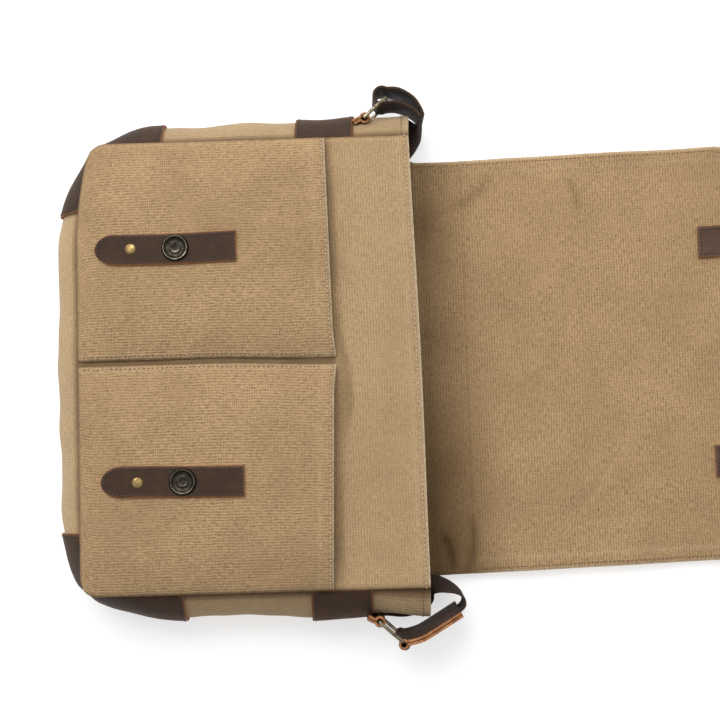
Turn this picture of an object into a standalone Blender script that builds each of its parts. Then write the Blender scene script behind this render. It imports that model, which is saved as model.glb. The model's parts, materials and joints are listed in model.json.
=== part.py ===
"""Canvas messenger bag that lies on its back with its flap thrown open.

Metres, +Z up. +X runs from the bag's bottom to its mouth and on to the open flap, and +Y is the bag's left.
The origin is on the face of the back panel that the bag lies on.
"""

import math

import bmesh
import bpy
from mathutils import Vector

# Driving dimensions
GAP = 0.0003                 # left between pieces that touch
CURVED_GAP = 0.0008          # and between faceted pieces that curve differently
HALF_WIDTH = 0.169           # of the front and back panels, at their side seams
BOTTOM_X = -0.128            # bottom seam of the panels
MOUTH_X = 0.1275             # mouth edge of the front panel
CORNER_R = 0.013             # rounding of the panels' bottom corners
CANVAS = 0.0024              # two layers of canvas
BACK_THICK = 0.003
GUSSET_BULGE = 0.0235        # how far the gusset swells past its own edges
CORNER_PINCH = 0.45          # share of that bulge lost at each rounded corner
CORNER_PINCH_REACH = 0.045
SEAM_INSET = 0.004           # its edges are turned in under the panels by this
GUSSET_ROWS = 8
FRONT_Z = 0.058              # inner face of the front panel
LIFT = 0.0052                # the back panel rides this high over the strap, near the mouth
LIFT_START = 0.020
LIFT_END = 0.052
GUSSET_CUTBACK = 0.066       # how far the gusset's mouth edge folds back beside the back panel

HINGE_X = 0.1295             # back edge, where the flap starts
HINGE_Z = 0.0082
SPINE = 0.0724               # depth that the flap spans when closed
HINGE_CLEARANCE = 0.0013
FLAP_HALF = 0.161
FLAP_END = 0.403
FLAP_CORNER_R = 0.038

POCKET_MOUTH_X = 0.062
POCKET_RISE = 0.008
POCKET_SPLIT = 0.0022        # half of the gap between the two pockets
TAB_Y = 0.086                # centre line of the closure tabs
TAB_HALF = 0.0115
TAB_START = -0.112
TAB_END = -0.007
LEATHER = 0.0018
SNAP_X = -0.052
SNAP_R = 0.0092
RIVET_X = -0.085

STRAP_MID_Z = 0.033          # middle of the strap's width where it stands on edge
RING_X = 0.091               # axis of the D-ring's straight bar
RING_Y = 0.1935
RING_ANGLE = math.radians(42)
RING_REACH = 0.024
RING_HALF = 0.02075
RING_WIRE = 0.00175
RING_SQUARENESS = 6.0
STRAP_WIDTH = 0.038
WEBBING = 0.0016
LEATHER_END = 0.0042         # two leathers with the webbing between them
STRAP_LIE_Z = 0.0013         # middle of the webbing where it lies on the floor
RUN_X = 0.075                # the webbing crosses under the bag here
RUN_Y = 0.035                # and goes out under the flap and back at plus and minus this
RUN_END = 0.365
FOLD_R = 0.024
BUCKLE_X = 0.150

for old in list(bpy.data.objects):
    bpy.data.objects.remove(old, do_unlink=True)

BAG = bpy.data.collections.new("messenger_bag")
GUIDES = bpy.data.collections.new("guides")
bpy.context.scene.collection.children.link(BAG)
bpy.context.scene.collection.children.link(GUIDES)


# ---------------------------------------------------------------- helpers

def material(name, colour, roughness, metallic=0.0):
    """A Principled material of one colour."""
    made = bpy.data.materials.new(name)
    made.use_nodes = True
    shader = made.node_tree.nodes["Principled BSDF"]
    shader.inputs["Base Color"].default_value = (*colour, 1.0)
    shader.inputs["Roughness"].default_value = roughness
    shader.inputs["Metallic"].default_value = metallic
    return made


CANVAS_TAN = material("canvas_tan", (0.45, 0.31, 0.17), 0.9)
GUSSET_TAN = material("gusset_tan", (0.52, 0.38, 0.22), 0.9)
COTTON = material("lining_cotton", (0.30, 0.24, 0.16), 0.95)
FOAM_PAD = material("sleeve_pad", (0.12, 0.11, 0.10), 0.95)
DARK_LEATHER = material("dark_leather", (0.06, 0.036, 0.026), 0.6)
DARK_WEBBING = material("dark_webbing", (0.045, 0.028, 0.023), 0.9)
BRASS = material("antique_brass", (0.42, 0.32, 0.17), 0.35, 1.0)
GUNMETAL = material("gunmetal", (0.10, 0.09, 0.07), 0.35, 1.0)


def link(obj, finish):
    BAG.objects.link(obj)
    obj.data.materials.append(finish)
    return obj


def mesh_object(name, bm, finish):
    bmesh.ops.recalc_face_normals(bm, faces=bm.faces)
    mesh = bpy.data.meshes.new(name)
    bm.to_mesh(mesh)
    bm.free()
    return link(bpy.data.objects.new(name, mesh), finish)


def sheet(name, place, columns, rows, thickness, finish):
    """A curved sheet: place(u, v) gives a point for u and v from 0 to 1, and Solidify thickens it.

    A negative thickness goes against the grid's normals.
    """
    bm = bmesh.new()
    bmesh.ops.create_grid(bm, x_segments=columns, y_segments=rows, size=0.5)
    for vertex in bm.verts:
        vertex.co = Vector(place(vertex.co.x + 0.5, vertex.co.y + 0.5))
    mesh = bpy.data.meshes.new(name)
    bm.to_mesh(mesh)
    bm.free()
    obj = link(bpy.data.objects.new(name, mesh), finish)
    solid = obj.modifiers.new("thickness", "SOLIDIFY")
    solid.thickness = abs(thickness)
    solid.offset = math.copysign(1.0, thickness)
    return obj


def outline_curve(name, loops, z_low, thickness, group):
    """A flat outline, filled and extruded upwards from z_low. Loops after the first are holes."""
    curve = bpy.data.curves.new(name, "CURVE")
    curve.dimensions = "2D"
    curve.fill_mode = "BOTH"
    curve.extrude = thickness / 2
    for loop in loops:
        spline = curve.splines.new("POLY")
        spline.points.add(len(loop) - 1)
        for point, (x, y) in zip(spline.points, loop):
            point.co = (x, y, 0.0, 1.0)
        spline.use_cyclic_u = True
    obj = bpy.data.objects.new(name, curve)
    obj.location.z = z_low + thickness / 2
    group.objects.link(obj)
    return obj


def plate(name, loops, z_low, thickness, finish):
    """An extruded outline as a mesh object."""
    guide = outline_curve(name + "_outline", loops, z_low, thickness, GUIDES)
    bpy.context.view_layer.update()
    evaluated = guide.evaluated_get(bpy.context.evaluated_depsgraph_get())
    mesh = bpy.data.meshes.new_from_object(evaluated)
    bm = bmesh.new()
    bm.from_mesh(mesh)
    bmesh.ops.transform(bm, matrix=guide.matrix_world, verts=bm.verts)
    bmesh.ops.remove_doubles(bm, verts=bm.verts, dist=0.00001)
    bpy.data.objects.remove(guide, do_unlink=True)
    return mesh_object(name, bm, finish)


def arc(centre, radius, start, end, steps):
    """Points along an arc, angles in degrees."""
    turn = [math.radians(start + (end - start) * k / steps) for k in range(steps + 1)]
    return [(centre[0] + radius * math.cos(a), centre[1] + radius * math.sin(a)) for a in turn]


def box_outline(x_low, x_high, y_low, y_high):
    return [(x_low, y_low), (x_high, y_low), (x_high, y_high), (x_low, y_high)]


def turned(name, profile, location, finish, steps=20):
    """A turned piece on a vertical axis. The profile of (radius, z) runs from the top down its outer side."""
    mesh = bpy.data.meshes.new(name)
    points = [(radius, 0.0, z) for radius, z in profile]
    mesh.from_pydata(points, [(k, k + 1) for k in range(len(points) - 1)], [])
    obj = link(bpy.data.objects.new(name, mesh), finish)
    obj.location = location
    spin = obj.modifiers.new("turn", "SCREW")
    spin.steps = steps
    spin.render_steps = steps
    spin.use_merge_vertices = True
    spin.merge_threshold = 0.00001
    spin.use_smooth_shade = False
    return obj


def ribbon(name, path, leans, width, thickness, finish):
    """A flat strap along a path. leans gives, in radians, how far its width leans over from upright."""
    bm = bmesh.new()
    rings = []
    for k, centre in enumerate(path):
        ahead = path[min(k + 1, len(path) - 1)] - path[max(k - 1, 0)]
        ahead.z = 0.0
        ahead.normalize()
        aside = Vector((-ahead.y, ahead.x, 0.0))
        across = Vector((0, 0, 1)) * math.cos(leans[k]) + aside * math.sin(leans[k])
        through = across.cross(ahead)
        corners = [(-1, -1), (1, -1), (1, 1), (-1, 1)]
        rings.append([
            bm.verts.new(centre + across * (a * width / 2) + through * (b * thickness / 2))
            for a, b in corners
        ])
    for first, second in zip(rings, rings[1:]):
        for k in range(4):
            bm.faces.new((first[k], first[(k + 1) % 4], second[(k + 1) % 4], second[k]))
    bm.faces.new(rings[0])
    bm.faces.new(rings[-1])
    bmesh.ops.triangulate(bm, faces=bm.faces)
    return mesh_object(name, bm, finish)


def smooth_path(points, per_span):
    """Points on a Catmull-Rom curve through the given tuples, whatever their length."""
    ends = [points[0]] + list(points) + [points[-1]]
    found = []
    for k in range(1, len(ends) - 2):
        before, here, there, after = ends[k - 1:k + 3]
        for step in range(per_span):
            t = step / per_span
            found.append(tuple(
                0.5 * (2 * b + (c - a) * t + (2 * a - 5 * b + 4 * c - d) * t * t + (3 * b - a - 3 * c + d) * t ** 3)
                for a, b, c, d in zip(before, here, there, after)
            ))
    found.append(tuple(points[-1]))
    return found


# ---------------------------------------------------------------- body shape

def ease(t):
    """0 to 1 with soft ends."""
    t = min(max(t, 0.0), 1.0)
    return t * t * (3 - 2 * t)


def back_under(x):
    """Height of the back panel's underside, which rises over the strap near the mouth."""
    return LIFT * ease((x - LIFT_START) / (LIFT_END - LIFT_START))


def corner_half_width(x, half_width, bottom_x, radius):
    """Half width of a panel with rounded bottom corners, at x."""
    into = x - bottom_x
    if into >= radius:
        return half_width
    return half_width - radius + math.sqrt(max(radius ** 2 - (radius - into) ** 2, 0.0))


SIDE_RUN = MOUTH_X - BOTTOM_X - CORNER_R
TURN_RUN = CORNER_R * math.pi / 2
BOTTOM_RUN = 2 * (HALF_WIDTH - CORNER_R)
GUSSET_LENGTH = 2 * SIDE_RUN + 2 * TURN_RUN + BOTTOM_RUN


def seam_point(s):
    """Point and outward direction on the panels' seam, a distance s along it from its left mouth end."""
    inner_y = HALF_WIDTH - CORNER_R
    inner_x = BOTTOM_X + CORNER_R
    if s <= SIDE_RUN:
        return Vector((MOUTH_X - s, HALF_WIDTH, 0)), Vector((0, 1, 0))
    if s <= SIDE_RUN + TURN_RUN:
        angle = math.pi / 2 + (s - SIDE_RUN) / CORNER_R
        outward = Vector((math.cos(angle), math.sin(angle), 0))
        return Vector((inner_x, inner_y, 0)) + outward * CORNER_R, outward
    if s <= SIDE_RUN + TURN_RUN + BOTTOM_RUN:
        along = s - SIDE_RUN - TURN_RUN
        return Vector((BOTTOM_X, inner_y - along, 0)), Vector((-1, 0, 0))
    mirrored, outward = seam_point(GUSSET_LENGTH - s)
    return Vector((mirrored.x, -mirrored.y, 0)), Vector((outward.x, -outward.y, 0))


def gusset_swell(s):
    """How far the gusset bulges at its middle, a distance s along the seam: it is pinched at both corners."""
    corner = SIDE_RUN + TURN_RUN / 2
    nearest = min(abs(s - corner), abs(GUSSET_LENGTH - s - corner))
    return GUSSET_BULGE * (1 - CORNER_PINCH * math.exp(-(nearest / CORNER_PINCH_REACH) ** 2))


def gusset_point(s, t, offset):
    """Point on the swelling gusset: t runs from 0 at the back seam to 1 at the front seam."""
    on_seam, outward = seam_point(s)
    low = back_under(on_seam.x) + BACK_THICK + CURVED_GAP
    height = FRONT_Z - GAP - low
    middle = gusset_swell(s)
    bulge = middle * (1 - (2 * t - 1) ** 2)
    slope = -4 * middle * (2 * t - 1) / height
    away = (outward - Vector((0, 0, slope))).normalized()
    return on_seam + outward * (bulge - SEAM_INSET) + Vector((0, 0, low + t * height)) + away * offset


def mouth_cutback(t):
    """How far the gusset's own mouth edge lies behind the front panel's."""
    return GUSSET_CUTBACK * (1 - t) ** 4


def seam_stations(s_start, s_end):
    """Distances along the seam for a strip's columns: close together round the corners, and the same for all."""
    turn_steps = 7
    every = [k * 0.02 for k in range(int(SIDE_RUN / 0.02))]
    every += [SIDE_RUN + TURN_RUN * k / turn_steps for k in range(turn_steps + 1)]
    every += [SIDE_RUN + TURN_RUN + BOTTOM_RUN * k / 6 for k in range(1, 4)]
    every += [GUSSET_LENGTH - s for s in every]
    inside = sorted(s for s in every if s_start + 0.001 < s < s_end - 0.001)
    kept = [s_start]
    for s in inside:
        if s - kept[-1] > 0.001:
            kept.append(s)
    return kept + [s_end]


def gusset_strip(name, s_start, s_end, offset, thickness, finish, t_range=(0.0, 1.0), folded=True):
    """A piece of the gusset, or of leather on it, from s_start to s_end along the seam.

    A folded strip has its columns pushed back from the mouth near the back seam.
    """
    stations = seam_stations(s_start, s_end)
    columns = len(stations) - 1

    def place(u, v):
        t = t_range[0] + v * (t_range[1] - t_range[0])
        s = stations[round(u * columns)]
        from_left = max(1 - s / SIDE_RUN, 0.0)
        from_right = max(1 - (GUSSET_LENGTH - s) / SIDE_RUN, 0.0)
        pushed = mouth_cutback(t) * (from_left ** 2 - from_right ** 2) * folded
        return gusset_point(s + pushed, t, offset)
    return sheet(name, place, columns, GUSSET_ROWS, thickness, finish)


def back_panel():
    def place(u, v):
        x = BOTTOM_X + 0.0004 + (HINGE_X - HINGE_CLEARANCE - BOTTOM_X - 0.0004) * u
        narrowed = (HALF_WIDTH - FLAP_HALF) * ease((x - LIFT_END) / (MOUTH_X - LIFT_END))
        half = corner_half_width(x, HALF_WIDTH, BOTTOM_X, CORNER_R) - narrowed
        return (x, half * (2 * v - 1), back_under(x))
    sheet("back_panel", place, 24, 6, BACK_THICK, CANVAS_TAN)


def front_panel():
    inner_x = BOTTOM_X + CORNER_R
    inner_y = HALF_WIDTH - CORNER_R
    outline = [(MOUTH_X - 0.002, -HALF_WIDTH), (MOUTH_X, 0.0), (MOUTH_X - 0.002, HALF_WIDTH)]
    outline += arc((inner_x, inner_y), CORNER_R, 90, 180, 6)
    outline += arc((inner_x, -inner_y), CORNER_R, 180, 270, 6)
    plate("front_panel", [outline], FRONT_Z, CANVAS, CANVAS_TAN)


def gussets():
    side_end = SIDE_RUN - 0.002
    far = GUSSET_LENGTH - side_end
    gusset_strip("side_gusset_left", 0.0, side_end, 0.0, -CANVAS, GUSSET_TAN)
    gusset_strip("bottom_gusset", side_end + GAP, far - GAP, 0.0, -CANVAS, GUSSET_TAN)
    gusset_strip("side_gusset_right", far, GUSSET_LENGTH, 0.0, -CANVAS, GUSSET_TAN)


# how far a corner patch runs up the bag's side from the rounded corner, and along its bottom
PATCH_LEFT = (0.0515, 0.038)
PATCH_RIGHT = (0.062, 0.028)


def corner_patches():
    span = (0.05, 0.96)
    side_end = SIDE_RUN - PATCH_LEFT[0]
    bottom_end = SIDE_RUN + TURN_RUN + PATCH_LEFT[1]
    gusset_strip("corner_patch_left", side_end, bottom_end, CURVED_GAP, LEATHER, DARK_LEATHER, span, False)
    side_end = GUSSET_LENGTH - SIDE_RUN + PATCH_RIGHT[0]
    bottom_end = GUSSET_LENGTH - SIDE_RUN - TURN_RUN - PATCH_RIGHT[1]
    gusset_strip("corner_patch_right", bottom_end, side_end, CURVED_GAP, LEATHER, DARK_LEATHER, span, False)


def lining():
    """A thin cotton bag just inside the canvas: two sheets and a strip."""
    inset = 0.007
    sheets = {"lining_back": BACK_THICK + CURVED_GAP, "lining_front": FRONT_Z - 0.0012}
    for name, height in sheets.items():
        def place(u, v, height=height, name=name):
            x = BOTTOM_X + inset + (MOUTH_X - 0.006 - BOTTOM_X - inset) * u
            narrowed = (HALF_WIDTH - FLAP_HALF) * ease((x - LIFT_END) / (MOUTH_X - LIFT_END))
            half = corner_half_width(x, HALF_WIDTH - inset, BOTTOM_X + inset, CORNER_R) - narrowed
            lift = back_under(x) if name == "lining_back" else 0.0
            return (x, half * (2 * v - 1), height + lift)
        sheet(name, place, 16, 4, 0.0008, COTTON)
    gusset_strip("lining_gusset", 0.0, GUSSET_LENGTH, -CANVAS - CURVED_GAP, -0.0008, COTTON, (0.07, 0.93))


def laptop_sleeve():
    """The padded divider, sewn in above the back panel, that keeps a laptop apart."""
    plate("laptop_sleeve", [box_outline(-0.112, 0.085, -0.150, 0.150)], 0.0185, 0.005, FOAM_PAD)


# ---------------------------------------------------------------- pockets and closures

def swell(distance, reach):
    """0 at a sewn edge and 1 beyond reach, rising steeply from the edge."""
    t = min(max(distance / reach, 0.0), 1.0)
    return 1 - (1 - t) ** 2.2


def pocket_height(x, y):
    """Underside of a pocket over the front panel, at a point inside its sewn edges."""
    bottom = swell(x - BOTTOM_X, 0.040)
    outer = swell(HALF_WIDTH - abs(y), 0.045)
    middle = swell(abs(y) - POCKET_SPLIT, 0.045)
    return FRONT_Z + CANVAS + GAP + POCKET_RISE * bottom * outer * middle


POCKET_THICK = 0.0016


def pockets():
    inset = 0.0008
    for side, name in ((1, "front_pocket_left"), (-1, "front_pocket_right")):
        def place(u, v, side=side):
            x = BOTTOM_X + inset + (POCKET_MOUTH_X - BOTTOM_X - inset) * u
            outer = corner_half_width(x, HALF_WIDTH - inset, BOTTOM_X + inset, CORNER_R)
            across = v if side > 0 else 1 - v
            y = POCKET_SPLIT + (outer - POCKET_SPLIT) * across
            return (x, side * y, pocket_height(x, y))
        sheet(name, place, 14, 12, POCKET_THICK, CANVAS_TAN)


def closure_tabs():
    """A pocket tab, rivet and snap socket on each pocket, with their burr and prong plate behind the canvas."""
    under = GAP + POCKET_THICK
    for side, word in ((1, "left"), (-1, "right")):
        def place(u, v, side=side):
            x = TAB_START + (TAB_END - TAB_START) * u
            point = min((x - TAB_START) / 0.012, 1.0)
            half = TAB_HALF * (0.35 + 0.65 * math.sin(point * math.pi / 2))
            y = side * TAB_Y + half * (2 * v - 1)
            return (x, y, pocket_height(x, abs(y)) + under + GAP)
        sheet("pocket_tab_" + word, place, 16, 6, LEATHER, DARK_LEATHER)
        top = FRONT_Z + CANVAS + GAP + POCKET_RISE + under + GAP + LEATHER + GAP
        behind = top - LEATHER - 4 * GAP - under
        turned("rivet_" + word, [(0, 0.0016), (0.002, 0.0014), (0.0034, 0.0008), (0.004, 0), (0, 0)],
               (RIVET_X, side * TAB_Y, top), BRASS)
        turned("rivet_burr_" + word, [(0, 0), (0.0035, 0), (0.0035, -0.0006), (0, -0.0006)],
               (RIVET_X, side * TAB_Y, behind), BRASS, 12)
        socket = [(0.0030, 0.0012), (0.0062, 0.0012), (0.0070, 0.0026), (0.0084, 0.0026), (SNAP_R, 0.0014),
                  (0.0098, 0.0004), (0.0098, 0), (0.0, 0), (0.0, 0.0004), (0.0030, 0.0004), (0.0030, 0.0012)]
        turned("snap_socket_" + word, socket, (SNAP_X, side * TAB_Y, top), GUNMETAL, 24)
        turned("snap_plate_" + word, [(0, 0), (SNAP_R, 0), (SNAP_R, -0.0006), (0, -0.0006)],
               (SNAP_X, side * TAB_Y, behind), GUNMETAL, 16)


# ---------------------------------------------------------------- flap

HINGE2_X = HINGE_X + SPINE
FLAP_Z = HINGE_Z - CANVAS / 2
FLAP_SNAP_X = HINGE2_X + (HINGE_X - SNAP_X)


def flap():
    spine = box_outline(HINGE_X + HINGE_CLEARANCE, HINGE2_X - HINGE_CLEARANCE, -FLAP_HALF, FLAP_HALF)
    plate("flap_spine", [spine], FLAP_Z, CANVAS, CANVAS_TAN)
    inner_x = FLAP_END - FLAP_CORNER_R
    inner_y = FLAP_HALF - FLAP_CORNER_R
    start = HINGE2_X + HINGE_CLEARANCE
    outline = [(start, FLAP_HALF), (start, -FLAP_HALF)]
    outline += arc((inner_x, -inner_y), FLAP_CORNER_R, -90, 0, 8)
    outline += arc((inner_x, inner_y), FLAP_CORNER_R, 0, 90, 8)
    plate("flap_panel", [outline], FLAP_Z, CANVAS, CANVAS_TAN)
    top = FLAP_Z + CANVAS + GAP
    for side, word in ((1, "left"), (-1, "right")):
        middle = side * TAB_Y
        inner = box_outline(0.354, FLAP_END - 0.001, middle - TAB_HALF, middle + TAB_HALF)
        plate("flap_tab_" + word, [inner], top, LEATHER, DARK_LEATHER)
        outer = box_outline(0.292, FLAP_END - 0.001, middle - TAB_HALF, middle + TAB_HALF)
        plate("flap_strap_" + word, [outer], FLAP_Z - GAP - LEATHER, LEATHER, DARK_LEATHER)
        stud = [(0, 0.0026), (0.0016, 0.0026), (0.0020, 0.0020), (0.0022, 0.0010), (0.0075, 0.0010),
                (SNAP_R, 0.0004), (SNAP_R, 0), (0, 0)]
        turned("snap_stud_" + word, stud, (FLAP_SNAP_X, middle, top + LEATHER + GAP), GUNMETAL, 24)


# ---------------------------------------------------------------- strap and its hardware

def side_patches():
    start = MOUTH_X - 0.085
    end = MOUTH_X - 0.040
    for first, last, word in ((start, end, "left"), (GUSSET_LENGTH - end, GUSSET_LENGTH - start, "right")):
        gusset_strip("side_patch_" + word, first, last, CURVED_GAP, LEATHER, DARK_LEATHER, (0.14, 0.96), False)


def eyed_strip(path, half, eye_radius, wall):
    """Outline of a strip folded round a bar: an eye at the start of the path and a tail along it."""
    centre = path[0]
    ahead = (path[1] - path[0]).normalized()
    heading = math.degrees(math.atan2(ahead.y, ahead.x))
    opening = math.degrees(math.asin(half / (eye_radius + wall)))
    left, right = [], []
    for k, point in enumerate(path[1:], start=1):
        along = (path[min(k + 1, len(path) - 1)] - path[k - 1]).normalized()
        aside = Vector((-along.y, along.x))
        left.append(tuple(point + aside * half))
        right.append(tuple(point - aside * half))
    outer = arc(centre, eye_radius + wall, heading + opening, heading + 360 - opening, 14)
    return [outer + right + left[::-1], arc(centre, eye_radius, 0, 330, 11)]


EYE = RING_WIRE + 0.0012


def ring_loops():
    """The leather loop that holds each D-ring's straight bar, sewn down on the side patch."""
    for side, word in ((1, "left"), (-1, "right")):
        tail = [Vector((RING_X, side * RING_Y)), Vector((RING_X - 0.006, side * (RING_Y - 0.0005))),
                Vector((RING_X - 0.013, side * (RING_Y - 0.0006)))]
        plate("ring_loop_" + word, eyed_strip(tail, 0.0012, EYE, 0.0013),
              STRAP_MID_Z - 0.017, 0.034, DARK_LEATHER)


def ring_out(side, distance):
    """A point on the ring's mid plane, a distance out from its straight bar."""
    return Vector((RING_X + distance * math.cos(RING_ANGLE),
                   side * (RING_Y + distance * math.sin(RING_ANGLE))))


def bow_reach(z):
    """How far the ring's bow is from its straight bar, z above its middle."""
    inside = max(1 - abs(z / RING_HALF) ** RING_SQUARENESS, 0.0)
    return RING_REACH * inside ** (1 / RING_SQUARENESS)


def d_rings():
    for side, word in ((1, "left"), (-1, "right")):
        curve = bpy.data.curves.new("d_ring_" + word, "CURVE")
        curve.dimensions = "3D"
        curve.bevel_depth = RING_WIRE
        curve.bevel_resolution = 2
        points = []
        turns = 18
        for k in range(turns + 1):
            angle = math.pi * (k / turns - 0.5)
            rise = math.copysign(abs(math.sin(angle)) ** (2 / RING_SQUARENESS), angle) * RING_HALF
            reach = math.cos(angle) ** (2 / RING_SQUARENESS) * RING_REACH if abs(math.cos(angle)) > 1e-9 else 0.0
            points.append((ring_out(side, reach), STRAP_MID_Z + rise))
        spline = curve.splines.new("POLY")
        spline.points.add(len(points) - 1)
        for point, (flat, z) in zip(spline.points, points):
            point.co = (flat.x - RING_X, flat.y - side * RING_Y, z - STRAP_MID_Z, 1.0)
        spline.use_cyclic_u = True
        ring = link(bpy.data.objects.new("d_ring_" + word, curve), BRASS)
        ring.location = (RING_X, side * RING_Y, STRAP_MID_Z)


STRAP_END_LEFT = [ring_out(1, RING_REACH), Vector((0.117, 0.2125)), Vector((0.126, 0.2085)),
                  Vector((0.1335, 0.1985))]
STRAP_END_RIGHT = [ring_out(-1, RING_REACH), Vector((0.122, -0.2045)), Vector((0.136, -0.1965)),
                   Vector((0.150, -0.188))]


def strap_ends():
    """Folded leather round each ring's bow, which the webbing is sewn into. The eye follows the bow's curve."""
    for side, word, path in ((1, "left", STRAP_END_LEFT), (-1, "right", STRAP_END_RIGHT)):
        obj = plate("strap_end_" + word, eyed_strip(path, LEATHER_END / 2, EYE, 0.0013),
                    STRAP_MID_Z - 0.017, 0.034, DARK_LEATHER)
        bm = bmesh.new()
        bm.from_mesh(obj.data)
        for step in range(-4, 5):
            everything = bm.verts[:] + bm.edges[:] + bm.faces[:]
            bmesh.ops.bisect_plane(bm, geom=everything, plane_co=(0, 0, STRAP_MID_Z + step * 0.0038),
                                   plane_no=(0, 0, 1))
        outward = (ring_out(side, 1.0) - ring_out(side, 0.0)).to_3d()
        eye = ring_out(side, RING_REACH)
        for vertex in bm.verts:
            sag = RING_REACH - bow_reach(vertex.co.z - STRAP_MID_Z)
            near = 1 - ease((vertex.co.to_2d() - eye).length / 0.016)
            vertex.co -= outward * sag * (near if near < 0.75 else 1.0)
        bm.to_mesh(obj.data)
        bm.free()


def upright_bend(side):
    """The webbing's own points from the leather end, round its curl, to where it lies flat under the bag.

    Each is (x, y, z, lean from upright in degrees).
    """
    if side > 0:
        curl = [(0.1336, 0.1975, 0.0330, 0), (0.1350, 0.1915, 0.0320, 2), (0.1342, 0.1850, 0.0295, 5),
                (0.1315, 0.1782, 0.0225, 13), (0.1225, 0.1765, 0.0142, 48)]
    else:
        curl = [(0.1505, -0.1877, 0.0330, 0), (0.1545, -0.1830, 0.0325, 0), (0.1530, -0.1765, 0.0310, 2),
                (0.1450, -0.1715, 0.0280, 8), (0.1310, -0.1690, 0.0225, 20), (0.1210, -0.1745, 0.0150, 47)]
    lie_down = [(0.1110, 0.1765, 0.0072, 71), (0.1035, 0.1762, 0.0031, 84)]
    return curl + [(x, side * y, z, lean) for x, y, z, lean in lie_down]


def fold_turn(corner, start, end):
    """A quarter turn of the flat webbing about a corner of its route, angles in degrees."""
    return [(x, y, STRAP_LIE_Z, 90) for x, y in arc(corner, FOLD_R, start, end, 6)]


def webbing(name, route, flip):
    path = [Vector(point[:3]) for point in route]
    leans = [math.radians(point[3]) * flip for point in route]
    return ribbon(name, path, leans, STRAP_WIDTH, WEBBING, DARK_WEBBING)


def strap():
    """The short webbing, the buckle, and the long webbing, from the right ring to the left one."""
    side_y = 0.176
    near = RUN_X + FOLD_R
    far = RUN_END - FOLD_R
    short = smooth_path(upright_bend(-1), 4)
    short += fold_turn((near, -side_y + FOLD_R), 270, 180)
    short += fold_turn((near, -RUN_Y - FOLD_R), 180, 90)
    short += [(BUCKLE_X - 0.0155, -RUN_Y, STRAP_LIE_Z, 90)]
    webbing("strap_webbing_short", short, 1)
    route = smooth_path(upright_bend(1), 4)
    route += fold_turn((near, side_y - FOLD_R), 90, 180)
    route += fold_turn((near, RUN_Y + FOLD_R), 180, 270)
    route += fold_turn((far, RUN_Y - FOLD_R), 90, 0)
    route += fold_turn((far, -RUN_Y + FOLD_R), 0, -90)
    route += [(BUCKLE_X + 0.0155, -RUN_Y, STRAP_LIE_Z, 90)]
    webbing("strap_webbing_long", route, -1)
    frame = box_outline(BUCKLE_X - 0.015, BUCKLE_X + 0.015, -RUN_Y - 0.024, -RUN_Y + 0.024)
    slots = [box_outline(BUCKLE_X + low, BUCKLE_X + low + 0.0085, -RUN_Y - 0.0205, -RUN_Y + 0.0205)
             for low in (-0.0115, 0.003)]
    plate("strap_buckle", [frame] + slots, 0.0003, 0.0026, BRASS)


back_panel()
front_panel()
gussets()
corner_patches()
lining()
laptop_sleeve()
pockets()
closure_tabs()
flap()
side_patches()
ring_loops()
d_rings()
strap_ends()
strap()
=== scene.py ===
"""Looks of the canvas messenger bag: cloth, leather, webbing, metal, stitching, camera and light."""

import json
import math

import bmesh
import bpy
from mathutils import Matrix, Vector, noise


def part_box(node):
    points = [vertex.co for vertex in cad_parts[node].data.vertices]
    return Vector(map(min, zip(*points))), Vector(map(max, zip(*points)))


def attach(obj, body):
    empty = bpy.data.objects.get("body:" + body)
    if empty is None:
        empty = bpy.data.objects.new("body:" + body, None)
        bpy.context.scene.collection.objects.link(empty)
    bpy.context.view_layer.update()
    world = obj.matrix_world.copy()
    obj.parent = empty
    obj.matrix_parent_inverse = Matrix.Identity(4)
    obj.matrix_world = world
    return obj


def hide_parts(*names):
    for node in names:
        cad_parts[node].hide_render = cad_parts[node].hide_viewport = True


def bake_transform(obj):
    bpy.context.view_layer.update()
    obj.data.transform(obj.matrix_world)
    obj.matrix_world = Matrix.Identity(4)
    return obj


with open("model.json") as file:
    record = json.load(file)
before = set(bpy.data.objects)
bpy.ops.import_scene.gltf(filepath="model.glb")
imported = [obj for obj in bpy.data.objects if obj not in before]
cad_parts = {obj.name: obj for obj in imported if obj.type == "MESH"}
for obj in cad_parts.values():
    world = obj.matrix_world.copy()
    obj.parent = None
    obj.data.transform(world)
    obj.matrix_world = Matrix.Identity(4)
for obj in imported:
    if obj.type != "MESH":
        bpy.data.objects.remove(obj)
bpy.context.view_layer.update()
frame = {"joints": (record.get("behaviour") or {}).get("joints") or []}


# ---------------------------------------------------------------- sizes, from the frame

def low(node):
    """The smallest corner of a node's box."""
    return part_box(node)[0]


def high(node):
    """The largest corner of a node's box."""
    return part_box(node)[1]


def centre(node):
    """The middle of a node's box."""
    return (low(node) + high(node)) / 2


HINGES = {joint["name"]: Vector(joint["pos_m"]) for joint in frame["joints"]}
SIDES = ((1, "left"), (-1, "right"))
UP = Vector((0, 0, 1))

# Cloth and leather
CANVAS = 0.0022              # two layers of canvas
POCKET_THICK = 0.0016
LEATHER = 0.0017
WEBBING = 0.0016
GAP = 0.0003                 # left between pieces that touch
CURVED_GAP = 0.0008          # and between pieces that curve

RIB_SCALE = 150.0            # how close the canvas's ribs are

MOUTH_HEM = 0.0085           # widths of the folded hems
POCKET_HEM = 0.0100
FLAP_HEM = 0.0100
MOUTH_ROW = 0.0032           # how far their stitches are from the edge
POCKET_ROW = 0.0026
FLAP_ROW = 0.0036

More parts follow.
